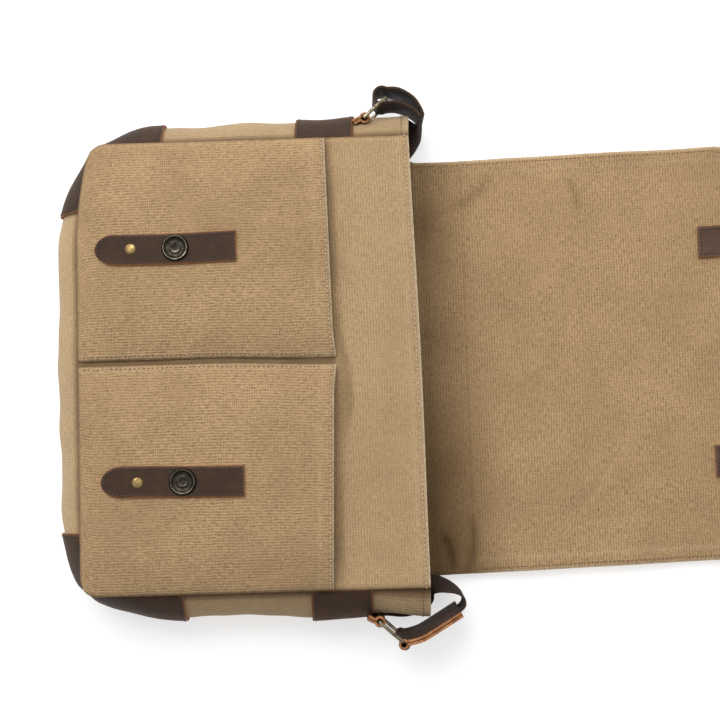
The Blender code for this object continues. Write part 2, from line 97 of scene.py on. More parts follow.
# The bag's body
HALF_WIDTH = high("front_panel").y
BOTTOM_X = low("front_panel").x
MOUTH_X = high("front_panel").x
FRONT_Z = low("front_panel").z
PANEL_TOP = FRONT_Z + CANVAS
CORNER_R = 0.013             # rounding of the panels' bottom corners
BACK_THICK = 0.003
LIFT = 0.0052                # how high the back panel rides over the strap, between these two places
LIFT_START = 0.020
LIFT_END = 0.052
MOUTH_SKEW = -0.016          # slant of the mouth's edge

# The gusset, measured along its seam from its left mouth end
SIDE_RUN = MOUTH_X - BOTTOM_X - CORNER_R
TURN_RUN = CORNER_R * math.pi / 2
BOTTOM_RUN = 2 * (HALF_WIDTH - CORNER_R)
GUSSET_LENGTH = 2 * SIDE_RUN + 2 * TURN_RUN + BOTTOM_RUN
GUSSET_BULGE = 0.0235        # how far it swells past its seams
CORNER_PINCH = 0.90          # share of that bulge lost at each rounded corner
CORNER_PINCH_REACH = 0.024
GUSSET_WIDTH = 0.066         # from seam to seam
SEAM_INSET = 0.004           # its edges are turned in under the panels by this
GUSSET_CUTBACK = 0.066       # how far its mouth edge slants back by the back panel

# The pockets and their tabs
POCKET_MOUTH_X = high("front_pocket_left").x
POCKET_RISE = 0.008          # how far a pocket swells
POCKET_SPLIT = 0.0014        # half the gap between the two pockets
POCKET_SKEW = 0.3            # how much of the mouth's slant the pockets take
TAB_Y = centre("pocket_tab_left").y
TAB_HALF = (high("pocket_tab_left").y - low("pocket_tab_left").y) / 2
TAB_START = low("pocket_tab_left").x
TAB_END = high("pocket_tab_left").x
SNAP_X = centre("snap_socket_left").x
RIVET_X = centre("rivet_left").x

# The flap
HINGE_X = HINGES["flap_back_edge"].x
HINGE2_X = HINGES["flap_front_edge"].x
FLAP_MEETING_X = (HINGE_X + HINGE2_X) / 2
FLAP_TOP = low("flap_panel").z + CANVAS
FLAP_HALF = high("flap_panel").y
FLAP_END = high("flap_panel").x
FLAP_CORNER_R = 0.038
FLAP_SKEW = 0.026            # its slight turn on the table

# The D-rings, which stand on their straight bars
RING = HINGES["ring_left_swing"]
RING_ANGLE = math.radians(42)
RING_REACH = 0.024           # from the bar's middle to the bow's
RING_HALF = 0.02075          # half the bar's length
RING_THIN = 0.0014           # radius of the wire
RING_SQUARENESS = 6.0
RING_FOOT = RING.z - 0.019

# The strap's lie on the table, under the bag and the flap
STRAP_WIDTH = 0.038
STRAP_LIE_Z = 0.0013
STRAP_SIDE_Y = 0.176         # where it leaves the bag's sides
RUN_X = 0.075
RUN_Y = 0.035
RUN_END = 0.365
FOLD_R = 0.024
BUCKLE_X = 0.150

# The rings of a stitch: place along it, thickness and height over the cloth, in its lengths and radii
STITCH_RINGS = ((-0.5, 0.45, -0.7), (-0.3, 1.0, 0.35), (0.3, 1.0, 0.35), (0.5, 0.45, -0.7))

# Turned profiles: radius, height, and which of the piece's finishes the band to the next point has
RIVET_HEAD = ((0, 0.0009, 0), (0.0020, 0.00085, 0), (0.0033, 0.0007, 0), (0.0039, 0.0004, 0),
              (0.0041, 0.0001, 0), (0.0041, -0.0004, 0), (0, -0.0004, 0))
SNAP_SOCKET = ((0.0014, 0.0006, 0), (0.0026, 0.0008, 0), (0.0030, 0.0014, 1), (0.0034, 0.0015, 0),
               (0.0040, 0.0011, 0), (0.0046, 0.0009, 0), (0.0062, 0.0009, 0), (0.0070, 0.0013, 0),
               (0.0078, 0.0021, 0), (0.0084, 0.0025, 1), (0.0089, 0.0025, 0), (0.0095, 0.0019, 0),
               (0.0099, 0.0010, 0), (0.0101, 0.0002, 0), (0.0101, -0.0004, 0), (0.0, -0.0004, 0),
               (0.0, -0.0002, 0), (0.0014, -0.0002, 0), (0.0014, 0.0006, 0))
SNAP_STUD = ((0, 0.0026, 1), (0.0014, 0.0025, 1), (0.0020, 0.0019, 0), (0.0018, 0.0011, 0),
             (0.0030, 0.0009, 0), (0.0060, 0.0011, 0), (0.0078, 0.0010, 1), (0.0090, 0.0006, 0),
             (0.0095, 0.0, 0), (0.0095, -0.0004, 0), (0, -0.0004, 0))

# The flap's soft creases: each one's middle, the way it runs, half its length and width, and its depth
CREASES = (((0.2560, 0.1290), (-0.30, 0.95), 0.016, 0.0022, -0.0016),
           ((0.1660, -0.1380), (0.10, 0.99), 0.022, 0.0040, -0.0026),
           ((0.1480, -0.1420), (-0.25, 0.97), 0.014, 0.0030, -0.0016),
           ((0.1760, 0.1330), (0.80, 0.60), 0.020, 0.0040, -0.0016),
           ((0.2700, -0.0900), (0.55, 0.83), 0.045, 0.0050, -0.0013),
           ((0.2450, 0.0300), (0.20, 0.98), 0.050, 0.0060, -0.0014))


# ---------------------------------------------------------------- camera, light, floor

def in_scene(name, data):
    """A new object in the scene that holds the given mesh, curve, light or camera."""
    obj = bpy.data.objects.new(name, data)
    bpy.context.scene.collection.objects.link(obj)
    return obj


def photo_camera():
    """Overhead camera, a little towards the bag's right side and rolled a little."""
    target = Vector((0.082, 0.0048, 0.0))
    distance = 1.0
    tilt = math.radians(4.72)
    roll = math.radians(1.71)
    data = bpy.data.cameras.new("camera")
    data.sensor_width = 36.0
    data.lens = 63.3
    camera = in_scene("camera", data)
    turn = Matrix.Rotation(tilt, 4, "X") @ Matrix.Rotation(-roll, 4, "Z")
    back = turn.to_3x3() @ Vector((0, 0, 1))
    camera.matrix_world = Matrix.Translation(target + back * distance) @ turn
    bpy.context.scene.camera = camera


def area_light(name, location, aim, size, power):
    """A round soft light that faces the aim."""
    data = bpy.data.lights.new(name, "AREA")
    data.shape = "DISK"
    data.size = size
    data.energy = power
    lamp = in_scene(name, data)
    lamp.location = location
    lamp.rotation_euler = (Vector(aim) - Vector(location)).to_track_quat("-Z", "Y").to_euler()


def sky():
    """Even light that is dimmer from the bag's right side."""
    world = bpy.data.worlds.new("sky")
    world.use_nodes = True
    tree = world.node_tree
    direction = tree.nodes.new("ShaderNodeTexCoord").outputs["Generated"]
    split = tree.nodes.new("ShaderNodeSeparateXYZ")
    tree.links.new(direction, split.inputs["Vector"])
    fade = tree.nodes.new("ShaderNodeMapRange")
    for key, number in (("From Min", -1.0), ("From Max", 0.3), ("To Min", 0.18), ("To Max", 0.80)):
        fade.inputs[key].default_value = number
    tree.links.new(split.outputs["Y"], fade.inputs["Value"])
    tree.links.new(fade.outputs["Result"], tree.nodes["Background"].inputs["Strength"])
    tree.nodes["Background"].inputs["Color"].default_value = (1.0, 1.0, 1.0, 1)
    return world


def studio():
    """A pale floor, a soft key light and the sky."""
    mesh = bpy.data.meshes.new("floor")
    edge = 4.0
    corners = [(-edge, -edge, 0), (edge, -edge, 0), (edge, edge, 0), (-edge, edge, 0)]
    mesh.from_pydata(corners, [], [(0, 1, 2, 3)])
    floor = in_scene("floor", mesh)
    floor.location.z = -0.0004
    paint = NodeMaterial("floor_paint")
    settings = {"Base Color": (0.62, 0.62, 0.62), "Roughness": 0.8, "Emission Color": (1.0, 1.0, 1.0),
                "Emission Strength": 0.55}
    for key, value in settings.items():
        paint.feed(paint.shader.inputs[key], value)
    mesh.materials.append(paint.material)
    bpy.context.scene.world = sky()
    area_light("key", (-0.30, 0.85, 1.35), (0.05, 0, 0), 1.3, 17)
    bpy.context.scene.view_settings.view_transform = "Standard"


# ---------------------------------------------------------------- materials

class NodeMaterial:
    """A node material under construction."""

    def __init__(self, name):
        self.material = bpy.data.materials.new(name)
        self.material.use_nodes = True
        self.tree = self.material.node_tree
        self.shader = self.tree.nodes["Principled BSDF"]

    def feed(self, socket, value):
        """Link an input to another node's output, or give it a number, a vector or a colour."""
        if isinstance(value, bpy.types.NodeSocket):
            self.tree.links.new(value, socket)
        elif socket.type == "RGBA":
            socket.default_value = (*value, 1.0)
        else:
            socket.default_value = value

    def node(self, kind, **settings):
        """A new node with its properties set and its inputs fed."""
        made = self.tree.nodes.new(kind)
        for key, value in settings.items():
            if key in made.inputs:
                self.feed(made.inputs[key], value)
            else:
                setattr(made, key, value)
        return made

    def place(self):
        """Where a point is in the object, for patterns with no direction of their own."""
        return self.node("ShaderNodeTexCoord").outputs["Object"]

    def cloth(self):
        """Where a point is on the flat cloth, in metres."""
        return self.node("ShaderNodeUVMap", uv_map="cloth").outputs["UV"]

    def attribute(self, name):
        """One of the values that cloth_sheet leaves at every vertex."""
        return self.node("ShaderNodeAttribute", attribute_name=name).outputs["Fac"]

    def mapping(self, source, scale):
        """A place, stretched."""
        return self.node("ShaderNodeMapping", Vector=source, Scale=scale).outputs["Vector"]

    def noise(self, vector, scale, detail=3.0, roughness=0.5):
        """Random patches."""
        made = self.node("ShaderNodeTexNoise", Vector=vector, Scale=scale, Detail=detail,
                         Roughness=roughness)
        return made.outputs["Fac"]

    def wave(self, vector, direction, scale, distortion=0.0):
        """Soft parallel bands."""
        made = self.node("ShaderNodeTexWave", wave_type="BANDS", bands_direction=direction, Vector=vector,
                         Scale=scale, Distortion=distortion, Detail=1.0)
        return made.outputs["Fac"]

    def math(self, operation, first, second):
        """Two values added, multiplied or the like."""
        made = self.node("ShaderNodeMath", operation=operation)
        self.feed(made.inputs[0], first)
        self.feed(made.inputs[1], second)
        return made.outputs["Value"]

    def weighted(self, *shares):
        """The sum of several values, each times its own weight."""
        total = None
        for value, weight in shares:
            part = self.math("MULTIPLY", value, weight)
            total = part if total is None else self.math("ADD", total, part)
        return total

    def remap(self, value, from_low, from_high, to_low, to_high):
        """A value moved from one range to another."""
        settings = {"From Min": from_low, "From Max": from_high, "To Min": to_low, "To Max": to_high}
        return self.node("ShaderNodeMapRange", Value=value, **settings).outputs["Result"]

    def mix(self, factor, first, second):
        """A colour between two others."""
        made = self.node("ShaderNodeMix", data_type="RGBA", blend_type="MIX")
        for number, value in ((0, factor), (6, first), (7, second)):
            self.feed(made.inputs[number], value)
        return made.outputs[2]

    def bump(self, height, strength, distance, below=None):
        """Relief from a height, on top of another relief if there is one below."""
        made = self.node("ShaderNodeBump", Height=height, Strength=strength, Distance=distance)
        if below is not None:
            self.feed(made.inputs["Normal"], below)
        return made.outputs["Normal"]

    def finish(self, colour, roughness, normal, metallic=0.0, sheen=0.0, specular=0.5):
        """The finished material, with the shader's inputs fed."""
        settings = {"Base Color": colour, "Roughness": roughness, "Normal": normal, "Metallic": metallic,
                    "Sheen Weight": sheen, "Specular IOR Level": specular}
        for key, value in settings.items():
            self.feed(self.shader.inputs[key], value)
        return self.material


def canvas_material(name, light, dark, pale, along, contrast, dirt):
    """Stone-washed canvas with slubby ribs.

    along says whether they run along the sheet's X or Y, pale is its worn colour, contrast how much darker
    the weave's hollows are, and dirt how strong its dark patches are.
    """
    m = NodeMaterial(name)
    uv = m.cloth()
    place = m.place()
    wobble = m.noise(m.mapping(uv, (45.0, 45.0, 1.0)), 1.0, 2.0)
    bent = m.node("ShaderNodeVectorMath", operation="MULTIPLY_ADD")
    for socket, value in zip(bent.inputs, (wobble, (0.0018, 0.0018, 0.0), uv)):
        m.feed(socket, value)
    threads = bent.outputs["Vector"]
    across, length = ("Y", "X") if along == "X" else ("X", "Y")
    ribs = m.wave(threads, across, RIB_SCALE, 1.5)
    picks = m.wave(threads, length, RIB_SCALE * 1.3, 1.5)
    stretch = (240.0, 1000.0, 1.0) if along == "X" else (1000.0, 240.0, 1.0)
    slubs = m.noise(m.mapping(threads, stretch), 1.0, 3.0, 0.65)
    stretch = (900.0, 260.0, 1.0) if along == "X" else (260.0, 900.0, 1.0)
    fine = m.noise(m.mapping(threads, stretch), 1.0, 2.0, 0.6)
    blotch = m.noise(place, 16.0, 4.0, 0.55)
    cloud = m.noise(place, 60.0, 4.0, 0.6)
    weave = m.weighted((ribs, 0.27), (picks, 0.17), (m.remap(slubs, 0.30, 0.70, 0.0, 1.0), 0.48),
                       (m.remap(fine, 0.30, 0.70, 0.0, 1.0), 0.30))
    deep = tuple(c * (1 - contrast) for c in dark)
    colour = m.mix(m.remap(weave, 0.22, 0.92, 0.0, 1.0), deep, light)
    colour = m.mix(m.remap(blotch, 0.38, 0.70, 0.0, dirt), colour, tuple(0.80 * c for c in dark))
    colour = m.mix(m.remap(cloud, 0.45, 0.75, 0.0, 0.22), colour, light)
    worn = m.math("MULTIPLY", m.attribute("wear"), m.remap(slubs, 0.30, 0.62, 0.25, 1.15))
    colour = m.mix(worn, colour, pale)
    # painted shade: the shade attribute darkens the colour towards this tone in seams, creases, gaps and the
    # shadows near the mouth, and also where there are dirt smudges
    shade_and_dirt_colour = (0.25 * dark[0], 0.21 * dark[1], 0.16 * dark[2])
    colour = m.mix(m.attribute("shade"), colour, shade_and_dirt_colour)
    normal = m.bump(weave, 0.75, 0.0006)
    normal = m.bump(cloud, 0.25, 0.002, normal)
    return m.finish(colour, 0.94, normal, sheen=0.05, specular=0.15)


def leather_material(name, dark, light, roughness=0.62):
    """Oiled leather: pebbled grain, scuffed in patches, and its raw tan colour showing at worn edges."""
    m = NodeMaterial(name)
    place = m.place()
    grain = m.node("ShaderNodeTexVoronoi", feature="DISTANCE_TO_EDGE", Vector=place, Scale=900.0)
    pebbles = m.remap(grain.outputs["Distance"], 0.0, 0.28, 0.0, 1.0)
    cloud = m.noise(place, 70.0, 5.0, 0.62)
    scuffs = m.noise(m.mapping(place, (1.0, 3.2, 1.0)), 190.0, 6.0, 0.72)
    colour = m.mix(m.remap(cloud, 0.35, 0.68, 0.0, 1.0), dark, light)
    colour = m.mix(m.remap(scuffs, 0.56, 0.74, 0.0, 0.45), colour, tuple(1.8 * c for c in light))
    rubbed = m.math("MULTIPLY", m.attribute("wear"), m.remap(scuffs, 0.35, 0.6, 0.5, 1.2))
    colour = m.mix(rubbed, colour, (0.26, 0.105, 0.04))
    normal = m.bump(pebbles, 0.35, 0.0003)
    normal = m.bump(scuffs, 0.25, 0.0008, normal)
    rough = m.remap(cloud, 0.3, 0.7, roughness - 0.1, roughness + 0.16)
    return m.finish(colour, rough, normal, specular=0.24)


def raw_edge_material():
    """The cut edge of the leather, tan orange with darker fibres."""
    m = NodeMaterial("leather_raw_edge")
    place = m.place()
    fibres = m.noise(m.mapping(place, (1.0, 1.0, 0.3)), 700.0, 3.0, 0.6)
    patches = m.noise(place, 120.0, 3.0, 0.6)
    colour = m.mix(m.remap(fibres, 0.35, 0.65, 0.0, 1.0), (0.24, 0.085, 0.028), (0.56, 0.25, 0.085))
    colour = m.mix(m.remap(patches, 0.5, 0.68, 0.0, 0.6), colour, (0.10, 0.04, 0.02))
    return m.finish(colour, 0.75, m.bump(fibres, 0.3, 0.0004))


def webbing_material():
    """Heavy cotton webbing: ribs along its length and a fine twill across them."""
    m = NodeMaterial("webbing_weave")
    uv = m.cloth()
    place = m.place()
    ribs = m.wave(uv, "Y", 75.0, 0.6)
    twill = m.wave(uv, "DIAGONAL", 150.0, 0.8)
    picks = m.wave(uv, "X", 170.0, 0.8)
    lint = m.noise(place, 420.0, 3.0, 0.7)
    height = m.weighted((ribs, 0.8), (twill, 0.5), (picks, 0.4))
    colour = m.mix(m.remap(height, 0.2, 1.5, 0.0, 1.0), (0.016, 0.0085, 0.006), (0.060, 0.034, 0.025))
    colour = m.mix(m.remap(lint, 0.55, 0.75, 0.0, 0.35), colour, (0.12, 0.075, 0.052))
    return m.finish(colour, 0.88, m.bump(height, 0.8, 0.0008), sheen=0.02, specular=0.2)


def metal_material(name, bright, tarnish, roughness, spread):
    """Plated metal with tarnish in patches and fine scratches."""
    m = NodeMaterial(name)
    place = m.place()
    patches = m.noise(place, 260.0, 4.0, 0.6)
    scratches = m.noise(m.mapping(place, (1.0, 9.0, 2.0)), 900.0, 3.0, 0.7)
    colour = m.mix(m.remap(patches, 0.5 - spread, 0.5 + spread, 0.0, 1.0), bright, tarnish)
    rough = m.remap(patches, 0.35, 0.65, roughness - 0.08, roughness + 0.16)
    return m.finish(colour, rough, m.bump(scratches, 0.12, 0.0002), metallic=1.0)


def thread_material(name, colour):
    """Sewing thread, darker in the hollows of its twist."""
    m = NodeMaterial(name)
    place = m.place()
    twist = m.noise(place, 1500.0, 2.0, 0.6)
    shade = m.mix(m.remap(twist, 0.35, 0.65, 0.0, 1.0), tuple(0.55 * c for c in colour), colour)
    return m.finish(shade, 0.7, m.bump(twist, 0.4, 0.0003))


def cotton_material(name, light, dark, quilted):
    """Plain lining cotton, or the sleeve's cover with its quilting."""
    m = NodeMaterial(name)
    uv = m.cloth()
    place = m.place()
    threads = m.math("MULTIPLY", m.wave(uv, "X", 260.0, 0.6), m.wave(uv, "Y", 260.0, 0.6))
    cloud = m.noise(place, 40.0, 4.0, 0.6)
    colour = m.mix(m.remap(cloud, 0.35, 0.65, 0.0, 1.0), dark, light)
    colour = m.mix(m.remap(threads, 0.0, 1.0, 0.35, 0.0), colour, tuple(0.5 * c for c in dark))
    normal = m.bump(threads, 0.35, 0.0004)
    if quilted:
        crossed = m.wave(m.mapping(uv, (-1, 1, 1)), "DIAGONAL", 9.0)
        quilts = m.math("MULTIPLY", m.wave(uv, "DIAGONAL", 9.0), crossed)
        normal = m.bump(quilts, 0.4, 0.004, normal)
    return m.finish(colour, 0.93, normal, sheen=0.15)


PALE_CANVAS = (0.74, 0.60, 0.41)
PALE_FLAP = (0.70, 0.56, 0.38)
PALE_GUSSET = (0.68, 0.54, 0.36)
FINISH = {
    "canvas": canvas_material("canvas_weave", (0.564, 0.385, 0.206), (0.388, 0.258, 0.138), PALE_CANVAS,
                              "Y", contrast=0.24, dirt=0.40),
    "pocket": canvas_material("pocket_weave", (0.592, 0.394, 0.207), (0.360, 0.229, 0.118), PALE_CANVAS,
                              "X", contrast=0.50, dirt=0.45),
    "flap": canvas_material("flap_weave", (0.596, 0.394, 0.205), (0.378, 0.240, 0.121), PALE_FLAP,
                            "Y", contrast=0.44, dirt=0.40),
    # the gusset's canvas is painted lighter, to match its lit bottom run; painted shade in its shade
    # attribute darkens its side runs again
    "gusset": canvas_material("gusset_weave", (0.575, 0.404, 0.226), (0.425, 0.292, 0.160), PALE_GUSSET,
                              "X", contrast=0.16, dirt=0.30),
    "leather": leather_material("dark_leather", (0.034, 0.0170, 0.0085), (0.064, 0.033, 0.018)),
    "tab_leather": leather_material("tab_leather", (0.080, 0.043, 0.027), (0.130, 0.076, 0.050)),
    "edge": raw_edge_material(),
    "webbing": webbing_material(),
    "brass": metal_material("antique_brass", (0.50, 0.43, 0.30), (0.13, 0.10, 0.06), 0.32, 0.16),
    "rivet": metal_material("rivet_brass", (0.44, 0.31, 0.13), (0.22, 0.15, 0.06), 0.45, 0.2),
    "snap": metal_material("dark_bronze", (0.070, 0.060, 0.045), (0.022, 0.019, 0.015), 0.42, 0.2),
    "snap_rim": metal_material("rubbed_bronze", (0.27, 0.24, 0.18), (0.07, 0.06, 0.045), 0.34, 0.22),
    "thread": thread_material("canvas_thread", (0.24, 0.14, 0.075)),
    "pale_thread": thread_material("hem_thread", (0.72, 0.58, 0.40)),
    "tab_thread": thread_material("tab_thread", (0.105, 0.072, 0.062)),
    "dark_thread": thread_material("leather_thread", (0.030, 0.019, 0.014)),
    "lining": cotton_material("lining_cotton", (0.30, 0.235, 0.15), (0.21, 0.16, 0.10), False),
    "sleeve": cotton_material("sleeve_cover", (0.085, 0.078, 0.07), (0.05, 0.046, 0.042), True),
}


# ---------------------------------------------------------------- building pieces

def ripple(x, y, seed, wavelength, amount):
    """Smooth random height, the same each run."""
    return noise.noise(Vector((x / wavelength, y / wavelength, seed))) * amount


def ease(t):
    """0 below 0, 1 above 1, and a soft rise between."""
    t = min(max(t, 0.0), 1.0)
    return t * t * (3 - 2 * t)


def near(distance, reach):
    """1 at no distance, fading softly to 0 at the reach."""
    return ease(1 - distance / reach)


def lerp(start, end, share):
    """A number a share of the way from a start to an end."""
    return start + (end - start) * share


def shares(steps):
    """0 to 1 in equal steps."""
    return [k / steps for k in range(steps + 1)]


def distances(path):
    """How far along a path each of its points is."""
    run = [0.0]
    for first, second in zip(path, path[1:]):
        run.append(run[-1] + (second - first).length)
    return run


def upward(point):
    return UP


def downward(point):
    return -UP


def from_bmesh(name, bm, *finishes, sharp_angle=180):
    """An object made of a finished bmesh, smooth but for edges above the sharp angle."""
    mesh = bpy.data.meshes.new(name)
    bm.to_mesh(mesh)
    bm.free()
    for finish in finishes:
        mesh.materials.append(FINISH[finish])
    mesh.shade_smooth()
    if sharp_angle < 180:
        mesh.set_sharp_from_angle(angle=math.radians(sharp_angle))
    return in_scene(name, mesh)


def settle(obj, sharp_angle=38):
    """The object as a plain mesh, with its modifiers applied, smooth but for its hard edges."""
    bpy.context.view_layer.update()
    evaluated = obj.evaluated_get(bpy.context.evaluated_depsgraph_get())
    mesh = bpy.data.meshes.new_from_object(evaluated)
    name = obj.name
    bpy.data.objects.remove(obj)
    mesh.shade_smooth()
    mesh.set_sharp_from_angle(angle=math.radians(sharp_angle))
    return in_scene(name, mesh)


def joined(piece, *others):
    """One object from several meshes, such as a panel and its stitches."""
    pieces = [piece, *others]
    with bpy.context.temp_override(active_object=piece, object=piece, selected_editable_objects=pieces):
        bpy.ops.object.join()
    return piece


def cloth_sheet(name, place, size, step, thickness, finish, rim=None, wear=None, shade=None, bevel=0.0005):
    """A curved sheet of cloth or leather.

    place(u, v) gives its point for u and v from 0 to 1. size is its flat width and length, step the size
    of its quads, and a negative thickness goes against its normals. wear and shade give, at (u, v), how
    pale with wear and how dark it is. rim is the finish of its cut edge.
    """
    columns = max(int(size[0] / step), 2)
    rows = max(int(size[1] / step), 2)
    bm = bmesh.new()
    bmesh.ops.create_grid(bm, x_segments=columns, y_segments=rows, size=0.5)
    flat = bm.loops.layers.uv.new("cloth")
    wears = bm.verts.layers.float.new("wear")
    shades = bm.verts.layers.float.new("shade")
    for face in bm.faces:
        for loop in face.loops:
            u, v = loop.vert.co.x + 0.5, loop.vert.co.y + 0.5
            loop[flat].uv = (u * size[0], v * size[1])
    for vertex in bm.verts:
        u, v = vertex.co.x + 0.5, vertex.co.y + 0.5
        vertex[wears] = wear(u, v) if wear else 0.0
        vertex[shades] = shade(u, v) if shade else 0.0
        vertex.co = Vector(place(u, v))
    obj = from_bmesh(name, bm, finish, rim or finish)
    solid = obj.modifiers.new("thickness", "SOLIDIFY")
    solid.thickness = abs(thickness)
    solid.offset = math.copysign(1.0, thickness)
    solid.material_offset_rim = 1
    soft = obj.modifiers.new("edges", "BEVEL")
    soft.width = bevel
    soft.segments = 2
    soft.limit_method = "ANGLE"
    soft.angle_limit = math.radians(50)
    return settle(obj)


def stitches(name, path, aside, finish, pitch=0.0034, length=0.0024, radius=0.00036):
    """Thread stitches along a path of points. aside gives the surface's outward direction at a point."""
    bm = bmesh.new()
    run = distances(path)
    count = int(run[-1] / pitch)
    reach = 0
    for k in range(count):
        distance = (k + 0.5) * run[-1] / count
        while run[reach + 1] < distance:
            reach += 1
        share = (distance - run[reach]) / (run[reach + 1] - run[reach])
        middle = path[reach].lerp(path[reach + 1], share)
        ahead = (path[reach + 1] - path[reach]).normalized()
        out = Vector(aside(middle)).normalized()
        side = out.cross(ahead).normalized()
        rings = []
        for along, fat, lift in STITCH_RINGS:
            ring = []
            for corner in range(6):
                angle = corner * math.pi / 3
                offset = side * math.cos(angle) + out * math.sin(angle)
                ring.append(bm.verts.new(middle + ahead * along * length + out * lift * radius
                                         + offset * radius * fat))
            rings.append(ring)
        for first, second in zip(rings, rings[1:]):
            for corner in range(6):
                after = (corner + 1) % 6
                bm.faces.new((first[corner], first[after], second[after], second[corner]))
        bm.faces.new(rings[0][::-1])
        bm.faces.new(rings[-1])
    bmesh.ops.recalc_face_normals(bm, faces=bm.faces)
    return from_bmesh(name, bm, finish)


def turned(name, profile, location, finishes, steps=64):
    """A turned metal piece: profile is (radius, z, finish index) from the top down its outer side."""
    bm = bmesh.new()
    rings = []
    for radius, z, _ in profile:
        if radius < 1e-6:
            rings.append([bm.verts.new((0, 0, z))])
        else:
            turns = [2 * math.pi * k / steps for k in range(steps)]
            rings.append([bm.verts.new((radius * math.cos(a), radius * math.sin(a), z)) for a in turns])
    for number, (first, second) in enumerate(zip(rings, rings[1:])):
        for k in range(steps):
            after = (k + 1) % steps
            corners = [first[k % len(first)], second[k % len(second)],
                       second[after % len(second)], first[after % len(first)]]
            unique = list(dict.fromkeys(corners))
            if len(unique) > 2:
                face = bm.faces.new(unique)
                face.material_index = profile[number][2]
    bmesh.ops.recalc_face_normals(bm, faces=bm.faces)
    piece = from_bmesh(name, bm, *finishes, sharp_angle=35)
    piece.data.transform(Matrix.Translation(location))
    return piece


def ribbon(name, path, leans, width, thickness, finish, bands=10):
    """A flat strap along a path of centres. leans is its width's lean over from upright, in radians."""
    bm = bmesh.new()
    flat = bm.loops.layers.uv.new("cloth")
    bm.verts.layers.float.new("wear")
    bm.verts.layers.float.new("shade")
    section = [(2 * share - 1, -1) for share in shares(bands)]
    section += [(1 - 2 * share, 1) for share in shares(bands)]
    count = len(section)
    rings = []
    run = distances(path)
    for k, middle in enumerate(path):
        ahead = path[min(k + 1, len(path) - 1)] - path[max(k - 1, 0)]
        level = Vector((ahead.x, ahead.y, 0.0)).normalized()
        across = UP * math.cos(leans[k]) + Vector((-level.y, level.x, 0)) * math.sin(leans[k])
        through = across.cross(ahead).normalized()
        ring = []
        for a, b in section:
            thin = 1.0 if abs(a) < 0.95 else 0.72
            spot = middle + across * (a * width / 2)
            ring.append(bm.verts.new(spot + through * (b * thin * thickness / 2)))
        rings.append(ring)
    for k in range(len(rings) - 1):
        for j in range(count):
            after = (j + 1) % count
            face = bm.faces.new((rings[k][j], rings[k][after], rings[k + 1][after], rings[k + 1][j]))
            spots = [(run[k], section[j][0]), (run[k], section[after][0]),
                     (run[k + 1], section[after][0]), (run[k + 1], section[j][0])]
            for loop, (along, a) in zip(face.loops, spots):
                loop[flat].uv = (along, a * width / 2)
    for ring in (rings[0], rings[-1]):
        bm.faces.new(ring)
    bmesh.ops.recalc_face_normals(bm, faces=bm.faces)
    return from_bmesh(name, bm, finish, sharp_angle=50)


def blended(before, here, there, after, t):
    """One coordinate of a Catmull-Rom curve, a share t of the way from here to there."""
    return 0.5 * (2 * here + (there - before) * t + (2 * before - 5 * here + 4 * there - after) * t * t
                  + (3 * here - before - 3 * there + after) * t ** 3)


def smooth_path(points, per_span):
    """Points on a Catmull-Rom curve through the given tuples, whatever their length."""
    ends = [points[0]] + list(points) + [points[-1]]
    found = []
    for k in range(1, len(ends) - 2):
        for step in range(per_span):
            found.append(tuple(blended(*four, step / per_span) for four in zip(*ends[k - 1:k + 3])))
    found.append(tuple(points[-1]))
    return found


def own(piece, body, slot, *nodes):
    """Rides a piece on a body and hides the CAD nodes it stands for. slot is not used."""
    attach(piece, body)
    if nodes:
        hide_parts(*nodes)
    return piece


# ---------------------------------------------------------------- strap

def tuck(side, z):
    """How far the left ring and what it holds lean in over the gusset's swell, at height z."""
    return -0.0035 - 0.115 * max(z - RING_FOOT, 0.0) if side > 0 else 0.0


def half_tuck(side, z):
    """The slacker lean of the left strap end, which hangs open round its ring."""
    top = RING.z + 0.019
    return tuck(side, top) + 0.05 * (top - z)


def ring_out(side, distance):
    """The place in plan at a distance out from a ring's bar."""
    y = RING.y + distance * math.sin(RING_ANGLE)
    return Vector((RING.x + distance * math.cos(RING_ANGLE), side * y))


def upright_bend(side):
    """The webbing from its leather end, on edge, to lying flat: x, y, z and its lean in degrees."""
    if side > 0:
        curl = [(0.1338, 0.1930, 0.0330, 0), (0.1350, 0.1885, 0.0320, 2), (0.1342, 0.1835, 0.0295, 5),
                (0.1315, 0.1785, 0.0225, 13), (0.1225, 0.1765, 0.0142, 48)]
    else:
        curl = [(0.1505, -0.1877, 0.0330, 0), (0.1545, -0.1830, 0.0325, 0), (0.1530, -0.1765, 0.0310, 2),
                (0.1450, -0.1715, 0.0280, 8), (0.1310, -0.1690, 0.0225, 20), (0.1210, -0.1745, 0.0150, 47)]
    lie_down = [(0.1110, 0.1765, 0.0072, 71), (0.1035, 0.1762, 0.0031, 84)]
    return curl + [(x, side * y, z, lean) for x, y, z, lean in lie_down]


def fold_turn(corner, start, end):
    """The flat webbing's turn about a corner, from one angle to the other."""
    found = []
    for share in shares(12):
        angle = math.radians(lerp(start, end, share))
        x = corner[0] + FOLD_R * math.cos(angle)
        y = corner[1] + FOLD_R * math.sin(angle)
        found.append((x, y, STRAP_LIE_Z, 90))
    return found


def webbing(name, route, side, node):
    """One webbing: a flat strap along its route, whose CAD node is hidden."""
    path = [Vector(point[:3]) for point in route]
    leans = [math.radians(point[3]) * -side for point in route]
    piece = ribbon(name, path, leans, STRAP_WIDTH, WEBBING, "webbing")
    length = distances(path)[-1]
    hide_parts(node)
    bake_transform(piece)
    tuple(route[0][:3])


